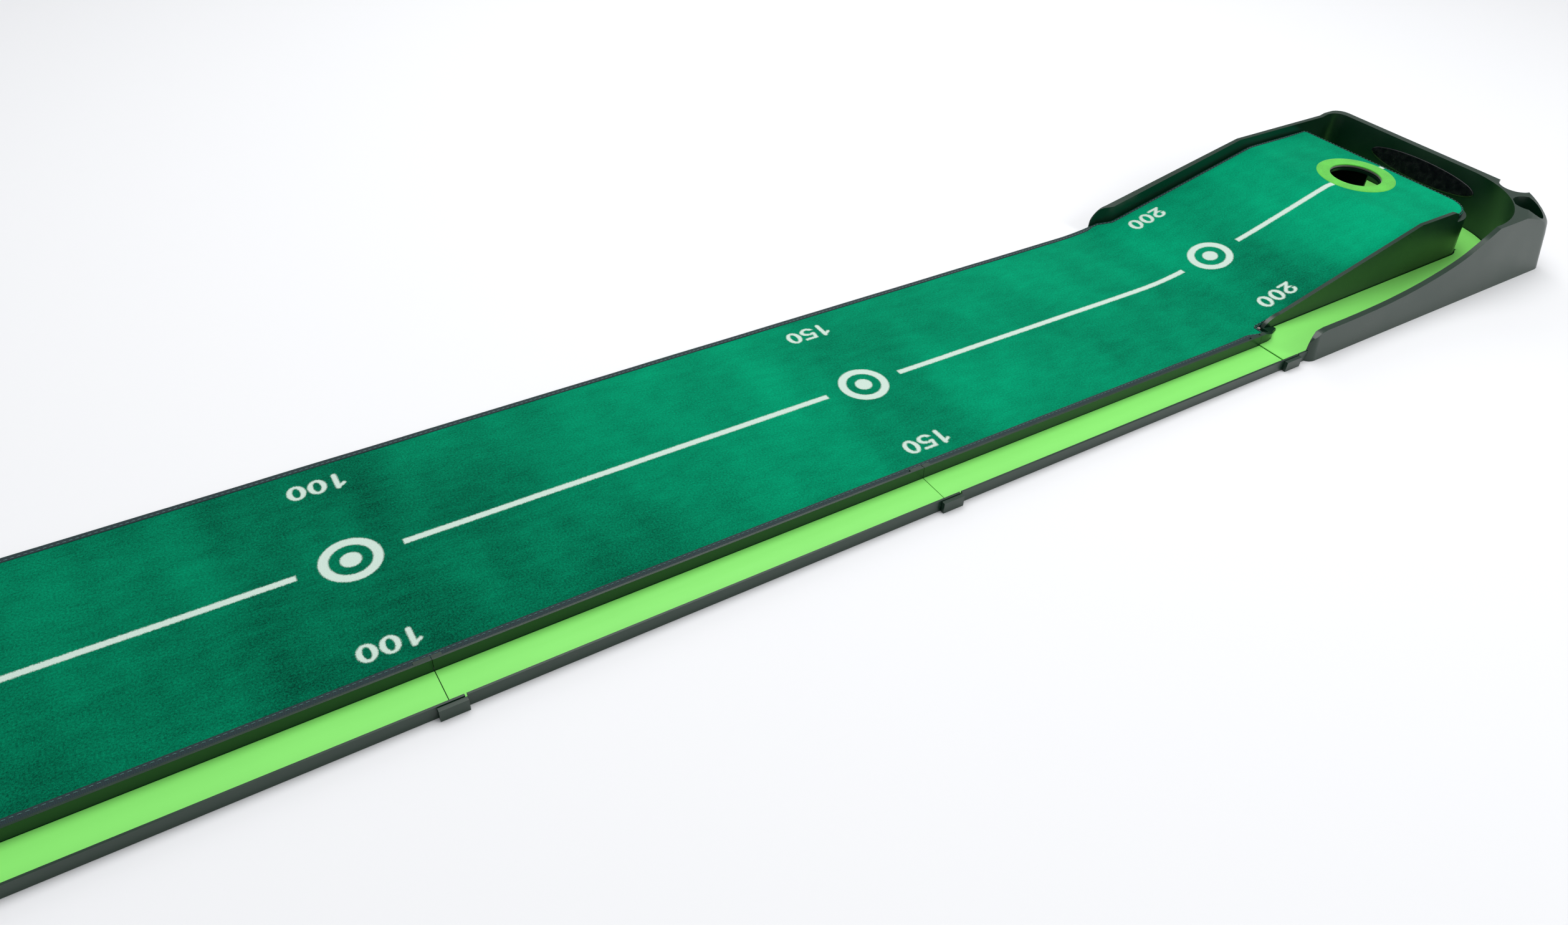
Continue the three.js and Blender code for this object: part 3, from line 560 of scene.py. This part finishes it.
def ring_finish():
    """Lime velour ring: the same pile as the strip in lime, darker where it dips at the hole's edge."""
    look = settings("putting_mat")
    f = Finish("lime velour", 0.9, Sheen_Weight=0.3, Sheen_Roughness=0.4)
    at = f.place()
    pile = f.noise(at, 1150, 3, 0.65)
    patch = f.noise(at, 60, 3, 0.5)
    shade = f.math("ADD", f.math("MULTIPLY", pile, 0.6), f.math("MULTIPLY", patch, 0.4))
    colour = f.blend(f.ramp(shade, 0.3, 0.7), tuple(0.62 * x for x in look.ring), tuple(look.ring))
    height = split(f, at)[2]
    cut = f.ramp(height, TOP_Z - 1.5 * MM, TOP_Z - 1.1 * MM, 1.0, 0.0)
    colour = f.blend(cut, colour, srgb(168, 172, 160))
    return f.close(colour, None, f.bump(pile, look.pile, 0.6))


def tape_finish():
    """Woven tape: fine diagonal ribs across the tape's own map."""
    look = settings("putting_tape")
    f = Finish("woven tape", 0.8)
    at = f.map("tape")
    u, v, _ = split(f, at)
    rib_pitch, cross_pitch = 1.1 * MM, 0.7 * MM
    slanted = f.math("ADD", u, f.math("MULTIPLY", v, 0.8))
    rib = f.math("SINE", f.math("MULTIPLY", slanted, 2 * math.pi / rib_pitch))
    cross = f.math("SINE", f.math("MULTIPLY", f.math("SUBTRACT", u, v), 2 * math.pi / cross_pitch))
    weave = f.math("ADD", f.math("MULTIPLY", rib, 0.35), f.math("MULTIPLY", cross, 0.15))
    weave = f.math("ADD", weave, 0.5)
    fluff = f.noise(at, 900, 3, 0.6)
    shade = f.math("ADD", f.math("MULTIPLY", weave, 0.6), f.math("MULTIPLY", fluff, 0.4))
    dark = tuple(0.45 * x for x in look.cloth)
    light = tuple(min(1.0, 1.6 * x) for x in look.cloth)
    colour = f.blend(f.ramp(shade, 0.25, 0.8), dark, light)
    return f.close(colour, f.ramp(weave, 0.2, 0.8, 0.6, 0.8), f.bump(weave, 0.18 * MM, 0.8))


def thread_finish():
    """Twisted pale thread."""
    look = settings("putting_tape")
    f = Finish("pale thread", 0.7, Sheen_Weight=0.3)
    at = f.place()
    twist = f.noise(f.stretch(at, (3, 1, 1)), 2200, 2, 0.5)
    colour = f.blend(f.ramp(twist, 0.3, 0.7), tuple(0.6 * x for x in look.cotton), tuple(look.cotton))
    return f.close(colour, None, f.bump(twist, 0.1 * MM, 0.6))


def steel_finish():
    """Zinc-plated steel with fine turning marks."""
    look = settings("putting_hole_unit")
    f = Finish("zinc-plated steel", 0.3, Metallic=1.0)
    at = f.place()
    turned = f.noise(f.stretch(at, (1, 1, 12)), 900, 3, 0.6)
    colour = f.blend(f.ramp(turned, 0.3, 0.7), tuple(0.8 * x for x in look.steel), tuple(look.steel))
    return f.close(colour, f.ramp(turned, 0.3, 0.7, 0.24, 0.42), f.bump(turned, 0.03 * MM, 0.5))


def peg_finish():
    """Pale plastic peg with a matt bloom."""
    look = settings("putting_hole_unit")
    f = Finish("pale plastic", 0.5)
    at = f.place()
    bloom = f.noise(at, 600, 4, 0.6)
    colour = f.blend(f.ramp(bloom, 0.3, 0.7), tuple(0.8 * x for x in look.peg), tuple(look.peg))
    return f.close(colour, None, f.bump(bloom, 0.05 * MM, 0.6))


def label_finish():
    """Plain glossy black label, a little smeared by handling."""
    ink = tuple(settings("putting_hole_unit").ink)
    f = Finish("label", 0.22, Coat_Weight=0.3)
    at = f.map("label")
    smear = f.noise(at, 120, 4, 0.6)
    colour = f.blend(f.ramp(smear, 0.35, 0.7), ink, srgb(26, 28, 32))
    return f.close(colour, f.ramp(smear, 0.3, 0.7, 0.16, 0.3), f.bump(smear, 0.1 * MM, 0.2))


FINISHES = {}


def finish(maker):
    """A finish, made once."""
    if maker not in FINISHES:
        FINISHES[maker] = maker()
    return FINISHES[maker]


# ------------------------------------------------------------------------------------ velour strip
def strip_height(x):
    """Height of the strip's upper face at x: level, then the ramp, then level, with soft bends.
    Each bend is the mean of a hinge over its own length, so slope changes evenly."""
    look = settings("putting_mat")
    foot, crest = JOINT + look.ramp_foot, JOINT + look.ramp_crest
    low = look.lift + look.thick
    slope = (TOP_Z - low) / (crest - foot)

    def hinge(at, bend):
        t = np.clip((x - at) / bend + 0.5, 0, 1)
        return np.where(x > at + bend / 2, x - at, bend * t * t / 2)

    return low + slope * (hinge(foot, look.foot_bend) - hinge(crest, look.crest_bend))


def arc_length(x):
    """Distance along the strip from the zero mark to each x."""
    fine = np.linspace(x.min(), x.max(), 20001)
    steps = np.hypot(np.diff(fine), np.diff(strip_height(fine)))
    length = np.concatenate([[0], np.cumsum(steps)])
    return np.interp(x, fine, length) + x.min() - ZERO_MARK


def strip_outline():
    """Corner points of the strip's plan as (x, y, corner radius), anticlockwise from the near front."""
    x0, x1 = MAT_LOW.x, MAT_HIGH.x
    y0, y1 = MAT_LOW.y, MAT_HIGH.y
    near, far = MID - 119.8 * MM, MID + 126 * MM
    notch_far = JOINT + 26 * MM
    return [
        (x0, y0, 8 * MM), (NOTCH_NEAR, y0, 0.6 * MM), (NOTCH_NEAR, near, 2 * MM), (x1, near, 32 * MM),
        (x1, far, 4 * MM), (notch_far + 16 * MM, far, 3 * MM), (notch_far, y1, 3 * MM), (x0, y1, 8 * MM),
    ]


def outline(corners, grow=0.0, steps=10, pitch=4 * MM):
    """Points round a plan with round corners, moved outwards by grow. The count doesn't depend on grow:
    each corner is an arc of the same number of steps, and each straight has a fixed number of points."""
    corners = np.array(corners, float)
    points, radii = corners[:, :2], corners[:, 2]
    before = points - np.roll(points, 1, 0)
    lengths = np.linalg.norm(before, axis=1)
    before = before / lengths[:, None]
    after = np.roll(before, -1, 0)
    turn = before[:, 0] * after[:, 1] - before[:, 1] * after[:, 0]
    outward = np.stack([before[:, 1], -before[:, 0]], 1)
    outward_after = np.roll(outward, -1, 0)
    half = np.arctan2(np.abs(turn), (before * after).sum(1)) / 2
    bisector = outward + outward_after
    bisector = bisector / np.linalg.norm(bisector, axis=1)[:, None]
    moved = points + bisector * (grow / np.cos(half))[:, None]
    radius = np.maximum(radii + grow * np.sign(turn), 0.05 * MM)
    out = []
    for i in range(len(points)):
        reach = radius[i] * np.tan(half[i])
        start, end = moved[i] - before[i] * reach, moved[i] + after[i] * reach
        centre = start - outward[i] * radius[i] * np.sign(turn[i])
        a0 = np.arctan2(*(start - centre)[::-1])
        sweep = 2 * half[i] * np.sign(turn[i])
        a = a0 + sweep * np.linspace(0, 1, steps + 1)
        arc = centre + radius[i] * np.stack([np.cos(a), np.sin(a)], 1)
        out.append(arc)
        j = (i + 1) % len(points)
        next_reach = radius[j] * np.tan(half[j])
        next_start = moved[j] - before[j] * next_reach
        count = max(2, int(lengths[j] / pitch))
        out.append(end + (next_start - end) * np.linspace(0, 1, count + 1)[1:-1, None])
    return np.concatenate(out)


def tape_share(points):
    """Share of the full tape width at each point (x, y) of the strip's edge: narrower on the far side, on
    the ramp and at its back, with soft changes between them."""
    look = settings("putting_tape")
    up_ramp = np.clip((points[:, 0] - JOINT - 8 * MM) / (10 * MM), 0, 1)
    far = np.clip((points[:, 1] - MID) / (60 * MM) + 0.5, 0, 1)
    not_back = np.clip((MAT_HIGH.x - 6 * MM - points[:, 0]) / (30 * MM), 0, 1)
    level = 1 + (look.far_share - 1) * far
    ramp = look.back_share + (look.ramp_share - look.back_share) * far * not_back
    return level + (ramp - level) * up_ramp


def tape_line(grow, **more):
    """The strip's outline moved by grow, with an inward move shared out as the tape's width is."""
    edge = outline(strip_outline(), **more)
    if grow > -1.5 * MM:
        return outline(strip_outline(), grow, **more)
    return edge + (outline(strip_outline(), grow, **more) - edge) * tape_share(edge)[:, None]


def strip_side(x, side):
    """The strip's edge at each x: its near (-1) or far (1) side, with the round corners and the notches."""
    ring = outline(strip_outline(), steps=16, pitch=1 * MM)
    part = ring[(ring[:, 1] - MID) * side > 0]
    order = np.argsort(part[:, 0], kind="stable")
    return np.interp(x, part[order, 0], part[order, 1])


def strip_rows():
    """The x of each row of the strip: close together at the ends, the notches and the bends."""
    x0, x1 = MAT_LOW.x, MAT_HIGH.x
    ends = 1 - np.cos(np.linspace(0, math.pi / 2, 10))
    back = np.sin(np.linspace(0, math.pi / 2, 14))
    notch = NOTCH_NEAR
    rows = [
        x0 + 8 * MM * ends, np.linspace(x0 + 12 * MM, notch - 6 * MM, 330),
        notch + np.array([-0.6, -0.3, 0, 0.05, 1, 2]) * MM, notch + np.linspace(4, 30, 12) * MM,
        np.linspace(notch + 34 * MM, x1 - 34 * MM, 60), x1 - 32 * MM + 32 * MM * back,
    ]
    return np.unique(np.round(np.concatenate(rows), 7))


def build_strip():
    """The velour strip: point (i, j) is at row x_i and share t_j of the width between the two edges, and
    stands at strip_height. Cells under the hole are left out and the thickness is given by Solidify."""
    look = settings("putting_mat")
    open_radius = 38 * MM  # cells whose middle is nearer the hole are left to the ring
    x = strip_rows()
    share = np.linspace(0, 1, 61)
    near, far = strip_side(x, -1), strip_side(x, 1)
    grid_x = np.repeat(x[:, None], len(share), 1)
    grid_y = near[:, None] + (far - near)[:, None] * share[None, :]
    wave = np.sin(grid_x * 43 + 1.3 * np.sin(grid_y * 31)) * np.sin(grid_y * 37 + grid_x * 9)
    ripple = 0.12 * MM * wave
    flat_part = np.clip((JOINT - grid_x) / 0.05, 0, 1)
    grid_z = strip_height(grid_x) + ripple * flat_part - 0.1 * MM * flat_part
    points = np.stack([grid_x, grid_y, grid_z], -1).reshape(-1, 3)
    faces = grid_faces(len(x), len(share))
    centre = points[faces].mean(1)
    off_hole = np.hypot(centre[:, 0] - HOLE_X, centre[:, 1] - HOLE_Y) > open_radius
    faces = faces[off_hole]
    used = np.zeros(len(points), bool)
    used[faces.ravel()] = True
    index = np.cumsum(used) - 1
    piece = mesh_piece("putting_mat_velour", points[used], index[faces], "mat")
    along = arc_length(points[used][:, 0])
    set_map(piece, "strip", np.stack([along, points[used][:, 1] - MID], 1))
    piece.data.materials.append(finish(velour_finish))
    piece.data.materials.append(finish(backing_finish))
    solid = piece.modifiers.new("Thickness", "SOLIDIFY")
    solid.thickness = look.thick - 0.25 * MM
    solid.offset = -1
    solid.material_offset = 1
    solid.material_offset_rim = 0
    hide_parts("putting_mat")
    return piece


def build_ring():
    """The lime ring: a section carried round the hole, from its outer edge over the top and down the
    hole's side, then back under. Point (i, j) is at angle a_i and section point (radius_j, height_j)."""
    look = settings("putting_mat")
    outer = (RING_HIGH.x - RING_LOW.x) / 2
    inner = 30.2 * MM
    lip = 0.9 * MM
    bottom = TOP_Z - look.thick + 0.1 * MM
    bend = np.linspace(0, math.pi / 2, 6)
    section = np.array(
        [(outer - 0.1 * MM, TOP_Z - 1.2 * MM), (outer, TOP_Z - 0.2 * MM), (outer - 0.5 * MM, TOP_Z + 0.25 * MM)]
        + [(r, TOP_Z + 0.3 * MM) for r in np.linspace(outer - 2 * MM, inner + lip, 8)]
        + [(inner + lip * (1 - math.sin(b)), TOP_Z + 0.3 * MM - lip * (1 - math.cos(b)))
           for b in bend[1:]]
        + [(inner, bottom), (inner + 0.8 * MM, bottom), (inner + 2.5 * MM, TOP_Z - 1.2 * MM)]
    )
    angle = np.linspace(0, 2 * math.pi, 96, endpoint=False)
    radius, height = section[:, 0], section[:, 1]
    points = np.stack([
        HOLE_X + np.cos(angle)[:, None] * radius, HOLE_Y + np.sin(angle)[:, None] * radius,
        np.repeat(height[None, :], len(angle), 0)], -1).reshape(-1, 3)
    faces = grid_faces(len(angle), len(section), True, True)
    piece = mesh_piece("hole_ring", points, faces, "mat")
    face_out(piece)
    piece.data.materials.append(finish(ring_finish))
    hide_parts("hole_ring_felt")
    return piece


def build_tape():
    """The folded tape: point (i, j) is at place i round the strip's outline, moved outwards by grow_j, and
    at height_j above the strip's underside. The section runs over the top, round the edge and back under."""
    look, mat = settings("putting_tape"), settings("putting_mat")
    t, high, width = look.thick, mat.thick, look.width
    turn = np.linspace(math.pi / 2, -math.pi / 2, 9)
    round_off = high / 2 + t
    section = [(-width, high - 0.3 * MM), (-width + 0.1 * MM, high + 0.6 * t)]
    section += [(g, high + t) for g in np.linspace(-width + 0.6 * MM, -1.4 * MM, 5)]
    section += [(-1.4 * MM + (1.4 * MM + t) * math.cos(a), high / 2 + round_off * math.sin(a)) for a in turn]
    section += [(-1.4 * MM, -t), (-width, -t), (-width, 0.0), (-1.6 * MM, 0.0), (-0.3 * MM, 0.6 * MM),
                (-0.3 * MM, high - 0.6 * MM), (-1.6 * MM, high - 0.1 * MM)]
    section = np.array(section)
    rows = np.stack([tape_line(grow) for grow in section[:, 0]], 1)
    edge = outline(strip_outline())
    travel = np.concatenate([[0], np.cumsum(np.linalg.norm(np.diff(edge, axis=0), axis=1))])
    under = strip_height(rows[..., 0]) - high
    z = under + section[:, 1][None, :]
    points = np.concatenate([rows, z[..., None]], -1).reshape(-1, 3)
    faces = grid_faces(len(edge), len(section), True, True)
    piece = mesh_piece("edge_tape", points, faces, "mat")
    around = np.concatenate([[0], np.cumsum(np.linalg.norm(np.diff(section, axis=0), axis=1))])
    set_map(piece, "tape", np.stack([np.repeat(travel[:, None], len(section), 1).ravel(),
                                     np.repeat(around[None, :], len(edge), 0).ravel()], 1))
    face_out(piece)
    piece.data.materials.append(finish(tape_finish))
    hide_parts("edge_binding_far", "edge_binding_near", "edge_binding_player_end",
                "edge_binding_hole_end")
    return piece


def build_stitches():
    """One row of stitches along the tape: each is a short round-ended rod, its ends sunk into the tape.
    Ring k of stitch n is a circle of radius r_k round the seam's point at that share of the stitch."""
    look, mat = settings("putting_tape"), settings("putting_mat")
    seam = tape_line(look.inset - look.width, pitch=2 * MM)
    seam = np.concatenate([seam, seam[:1]])
    travel = np.concatenate([[0], np.cumsum(np.linalg.norm(np.diff(seam, axis=0), axis=1))])
    count = int(travel[-1] / look.pitch)
    start = np.arange(count) * travel[-1] / count
    share = np.array([0.0, 0.12, 0.5, 0.88, 1.0])
    fat = np.array([0.25, 0.9, 1.0, 0.9, 0.25]) * look.thread
    sink = np.array([-0.5, 0.05, 0.35, 0.05, -0.5]) * look.thread
    place = start[:, None] + share[None, :] * look.stitch
    x, y = np.interp(place, travel, seam[:, 0]), np.interp(place, travel, seam[:, 1])
    z = strip_height(x) + look.thick + sink[None, :]
    line = np.stack([x, y, z], -1)
    along = line[:, -1:] - line[:, :1]
    along = along / np.linalg.norm(along, axis=-1, keepdims=True)
    side = np.cross(along, [0.0, 0.0, 1.0])
    top = np.cross(side, along)
    sides = 6
    a = 2 * math.pi * np.arange(sides) / sides
    ring = (line[:, :, None] + fat[None, :, None, None] * (
        np.cos(a)[None, None, :, None] * side[:, :, None] + np.sin(a)[None, None, :, None] * top[:, :, None]))
    points = ring.reshape(-1, 3)
    one = grid_faces(len(share), sides, False, True)
    caps = [np.arange(sides)[::-1], (len(share) - 1) * sides + np.arange(sides)]
    base = (np.arange(count) * len(share) * sides)[:, None, None]
    quads = (base + one[None]).reshape(-1, 4)
    ends = np.concatenate([(base[:, 0] + cap[None]) for cap in caps])
    piece = mesh_piece("edge_stitches", points, [*quads, *ends], "mat")
    face_out(piece)
    piece.data.materials.append(finish(thread_finish))
    return piece


# ------------------------------------------------------------------------------------ label
def build_label():
    """The oval label: rings of points from its middle out to its rim, laid on the back wall's curve."""
    low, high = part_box("instruction_label")
    half_w, half_h = (high.y - low.y) / 2, (high.z - low.z) / 2
    cy, cz = (low.y + high.y) / 2, (low.z + high.z) / 2
    angle = np.linspace(0, 2 * math.pi, 96, endpoint=False)
    share = np.concatenate([np.linspace(0.04, 0.985, 16), [1.0, 1.0]])
    y = cy + half_w * share[:, None] * np.cos(angle)
    z = cz + half_h * share[:, None] * np.sin(angle)
    back = wall_place(y, z)
    off = np.full(len(share), 0.85 * MM)
    off[-2], off[-1] = 0.7 * MM, 0.25 * MM
    points = np.stack([back - off[:, None], y, z], -1).reshape(-1, 3)
    faces = list(grid_faces(len(share), len(angle), False, True)) + [np.arange(len(angle))]
    last = (len(share) - 1) * len(angle)
    faces.append(last + np.arange(len(angle))[::-1])
    piece = mesh_piece("instruction_label_print", points, faces, "hole_unit")
    set_map(piece, "label", np.stack([cy - points[:, 1], points[:, 2] - cz], 1))
    face_out(piece)
    piece.data.materials.append(finish(label_finish))
    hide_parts("instruction_label")
    return piece


def wall_place(y, z):
    """x of the back wall's inner face at each (y, z): straight, then an arc round the near corner, both
    leaning back with height. lean is 0 at the wall's foot and 1 at its top."""
    foot, rise = -2 * MM, 78.5 * MM
    lean = (z - foot) / rise
    back = JOINT + (432.5 + 5.5 * lean) * MM
    radius = (100 + 4 * lean) * MM
    centre_y = MID + (-180.4 + 8.4 * lean) * MM + radius
    inside = np.clip((centre_y - y) / radius, 0, 1)
    return back - radius * (1 - np.sqrt(1 - inside**2))


# ------------------------------------------------------------------------------------ operators
class PUTT_OT_strip(bpy.types.Operator):
    """Build the velour strip with its printed marks, hole ring, tape and stitches"""

    bl_idname = "putt.strip"
    bl_label = "Velour strip"

    def execute(self, context):
        strip, ring, tape, stitches = build_strip(), build_ring(), build_tape(), build_stitches()
        length = float(arc_length(np.array([MAT_LOW.x, MAT_HIGH.x])).ptp())
        return {"FINISHED"}


class PUTT_OT_hole_unit(bpy.types.Operator):
    """Build the moulded tray and ramp deck, the lime floor, the screws and the peg"""

    bl_idname = "putt.hole_unit"
    bl_label = "Hole unit"

    def execute(self, context):
        look = settings("putting_hole_unit")
        body, plastic, steel = "hole_unit", finish(plastic_finish), finish(steel_finish)
        screw_edge, peg_edge = 0.2 * MM, 0.5 * MM
        rounded_copy("hole_unit_tray", "hole_unit_tray_moulding", body, look.edge, plastic)
        rounded_copy("ramp_deck", "ramp_deck_moulding", body, look.deck_edge, plastic)
        rounded_copy("hole_unit_lane_liner", "hole_unit_lane_sheet", body, look.sheet_edge,
                     finish(lime_finish), 2)
        for k in range(1, SCREWS + 1):
            rounded_copy(f"deck_screw_{k}", f"deck_screw_turned_{k}", body, screw_edge, steel, 2)
        rounded_copy("mat_corner_peg", "mat_corner_peg_moulding", body, peg_edge, finish(peg_finish))
        return {"FINISHED"}


class PUTT_OT_label(bpy.types.Operator):
    """Build the oval label on the back wall"""

    bl_idname = "putt.label"
    bl_label = "Label"

    def execute(self, context):
        build_label()
        return {"FINISHED"}


class PUTT_OT_channel(bpy.types.Operator):
    """Build the channel sections, the end tray and their lime sheets"""

    bl_idname = "putt.channel"
    bl_label = "Return channel"

    def execute(self, context):
        look = settings("putting_hole_unit")
        plastic, lime = finish(plastic_finish), finish(lime_finish)
        for k in range(1, SECTIONS + 1):
            body = f"channel_{k}"
            rounded_copy(f"channel_section_{k}", f"channel_moulding_{k}", body,
                         look.channel_edge, plastic)
            rounded_copy(f"channel_liner_{k}", f"channel_sheet_{k}", body,
                         look.sheet_edge, lime, 2)
        body = "channel_end"
        rounded_copy("end_tray", "end_tray_moulding", body, look.channel_edge, plastic)
        rounded_copy("end_tray_liner", "end_tray_sheet", body, look.sheet_edge, lime, 2)
        return {"FINISHED"}


class PUTT_OT_stage(bpy.types.Operator):
    """Build the floor, the lights and the camera"""

    bl_idname = "putt.stage"
    bl_label = "Stage"

    def execute(self, context):
        look = settings("putting_stage")
        floor_mesh = bpy.data.meshes.new("floor")
        reach, drop = 14.0, -0.2 * MM
        corners = [(-reach, -reach, drop), (reach, -reach, drop), (reach, reach, drop), (-reach, reach, drop)]
        floor_mesh.from_pydata(corners, [], [(0, 1, 2, 3)])
        floor = bpy.data.objects.new("floor", floor_mesh)
        context.scene.collection.objects.link(floor)
        f = Finish("pale floor", 0.85)
        f.shader.inputs["Specular IOR Level"].default_value = 0.1
        f.shader.inputs["Base Color"].default_value = (*look.floor, 1)
        floor_mesh.materials.append(f.material)
        world = bpy.data.worlds.new("soft light")
        world.use_nodes = True
        sky = world.node_tree.nodes["Background"]
        sky.inputs["Color"].default_value = (*look.sky, 1)
        sky.inputs["Strength"].default_value = 0.42
        context.scene.world = world
        context.scene.view_settings.view_transform = "Standard"
        lights = [  # name, place, aim, width in metres, power in watts
            ("overhead", (0.6, 0.5, 2.6), (0.4, 0.0, 0.0), 2.6, 54),
            ("window", (2.6, -2.4, 1.9), (0.9, -0.1, 0.0), 1.6, 34),
            ("far_fill", (1.8, 2.6, 1.3), (0.8, 0.1, 0.0), 1.8, 14),
        ]
        for name, place, aim, width, power in lights:
            lamp = bpy.data.lights.new(name, "AREA")
            lamp.shape, lamp.size, lamp.energy = "DISK", width, power
            light = bpy.data.objects.new(name, lamp)
            context.scene.collection.objects.link(light)
            light.matrix_world = Matrix.Translation(place) @ (
                (Vector(aim) - Vector(place)).to_track_quat("-Z", "Y").to_matrix().to_4x4())
        lens = bpy.data.cameras.new("camera")
        lens.lens, lens.sensor_width = look.lens, 36
        lens.clip_start, lens.clip_end = 0.01, 100
        camera = bpy.data.objects.new("camera", lens)
        context.scene.collection.objects.link(camera)
        flat = math.cos(look.dip)
        ahead = Vector((flat * math.cos(look.heading), flat * math.sin(look.heading), -math.sin(look.dip)))
        level = ahead.cross(Vector((0, 0, 1))).normalized()
        above = level.cross(ahead)
        right = math.cos(look.roll) * level + math.sin(look.roll) * above
        up = math.cos(look.roll) * above - math.sin(look.roll) * level
        turn = Matrix((right, up, -ahead)).transposed().to_4x4()
        camera.matrix_world = Matrix.Translation(look.eye) @ turn
        context.scene.camera = camera
        return {"FINISHED"}


class PUTT_PT_panel(bpy.types.Panel):
    """Buttons that build the putting mat"""

    bl_label = "Putting mat"
    bl_idname = "PUTT_PT_panel"
    bl_space_type = "VIEW_3D"
    bl_region_type = "UI"
    bl_category = "Putting mat"

    def draw(self, context):
        for operator in OPERATORS:
            self.layout.operator(operator.bl_idname)


OPERATORS = (PUTT_OT_hole_unit, PUTT_OT_label, PUTT_OT_channel, PUTT_OT_strip, PUTT_OT_stage)
CLASSES = (*SETTINGS.values(), *OPERATORS, PUTT_PT_panel)


def register():
    """Registers the classes and adds the settings to the scene."""
    for each in CLASSES:
        bpy.utils.register_class(each)
    for name, group in SETTINGS.items():
        setattr(bpy.types.Scene, name, bpy.props.PointerProperty(type=group))


def unregister():
    """Takes the settings and the classes away again."""
    for name in SETTINGS:
        delattr(bpy.types.Scene, name)
    for each in reversed(CLASSES):
        bpy.utils.unregister_class(each)


def main():
    """Builds everything in order."""
    register()
    bpy.ops.putt.hole_unit()
    bpy.ops.putt.label()
    bpy.ops.putt.channel()
    bpy.ops.putt.strip()
    bpy.ops.putt.stage()


if __name__ == "__main__":
    main()
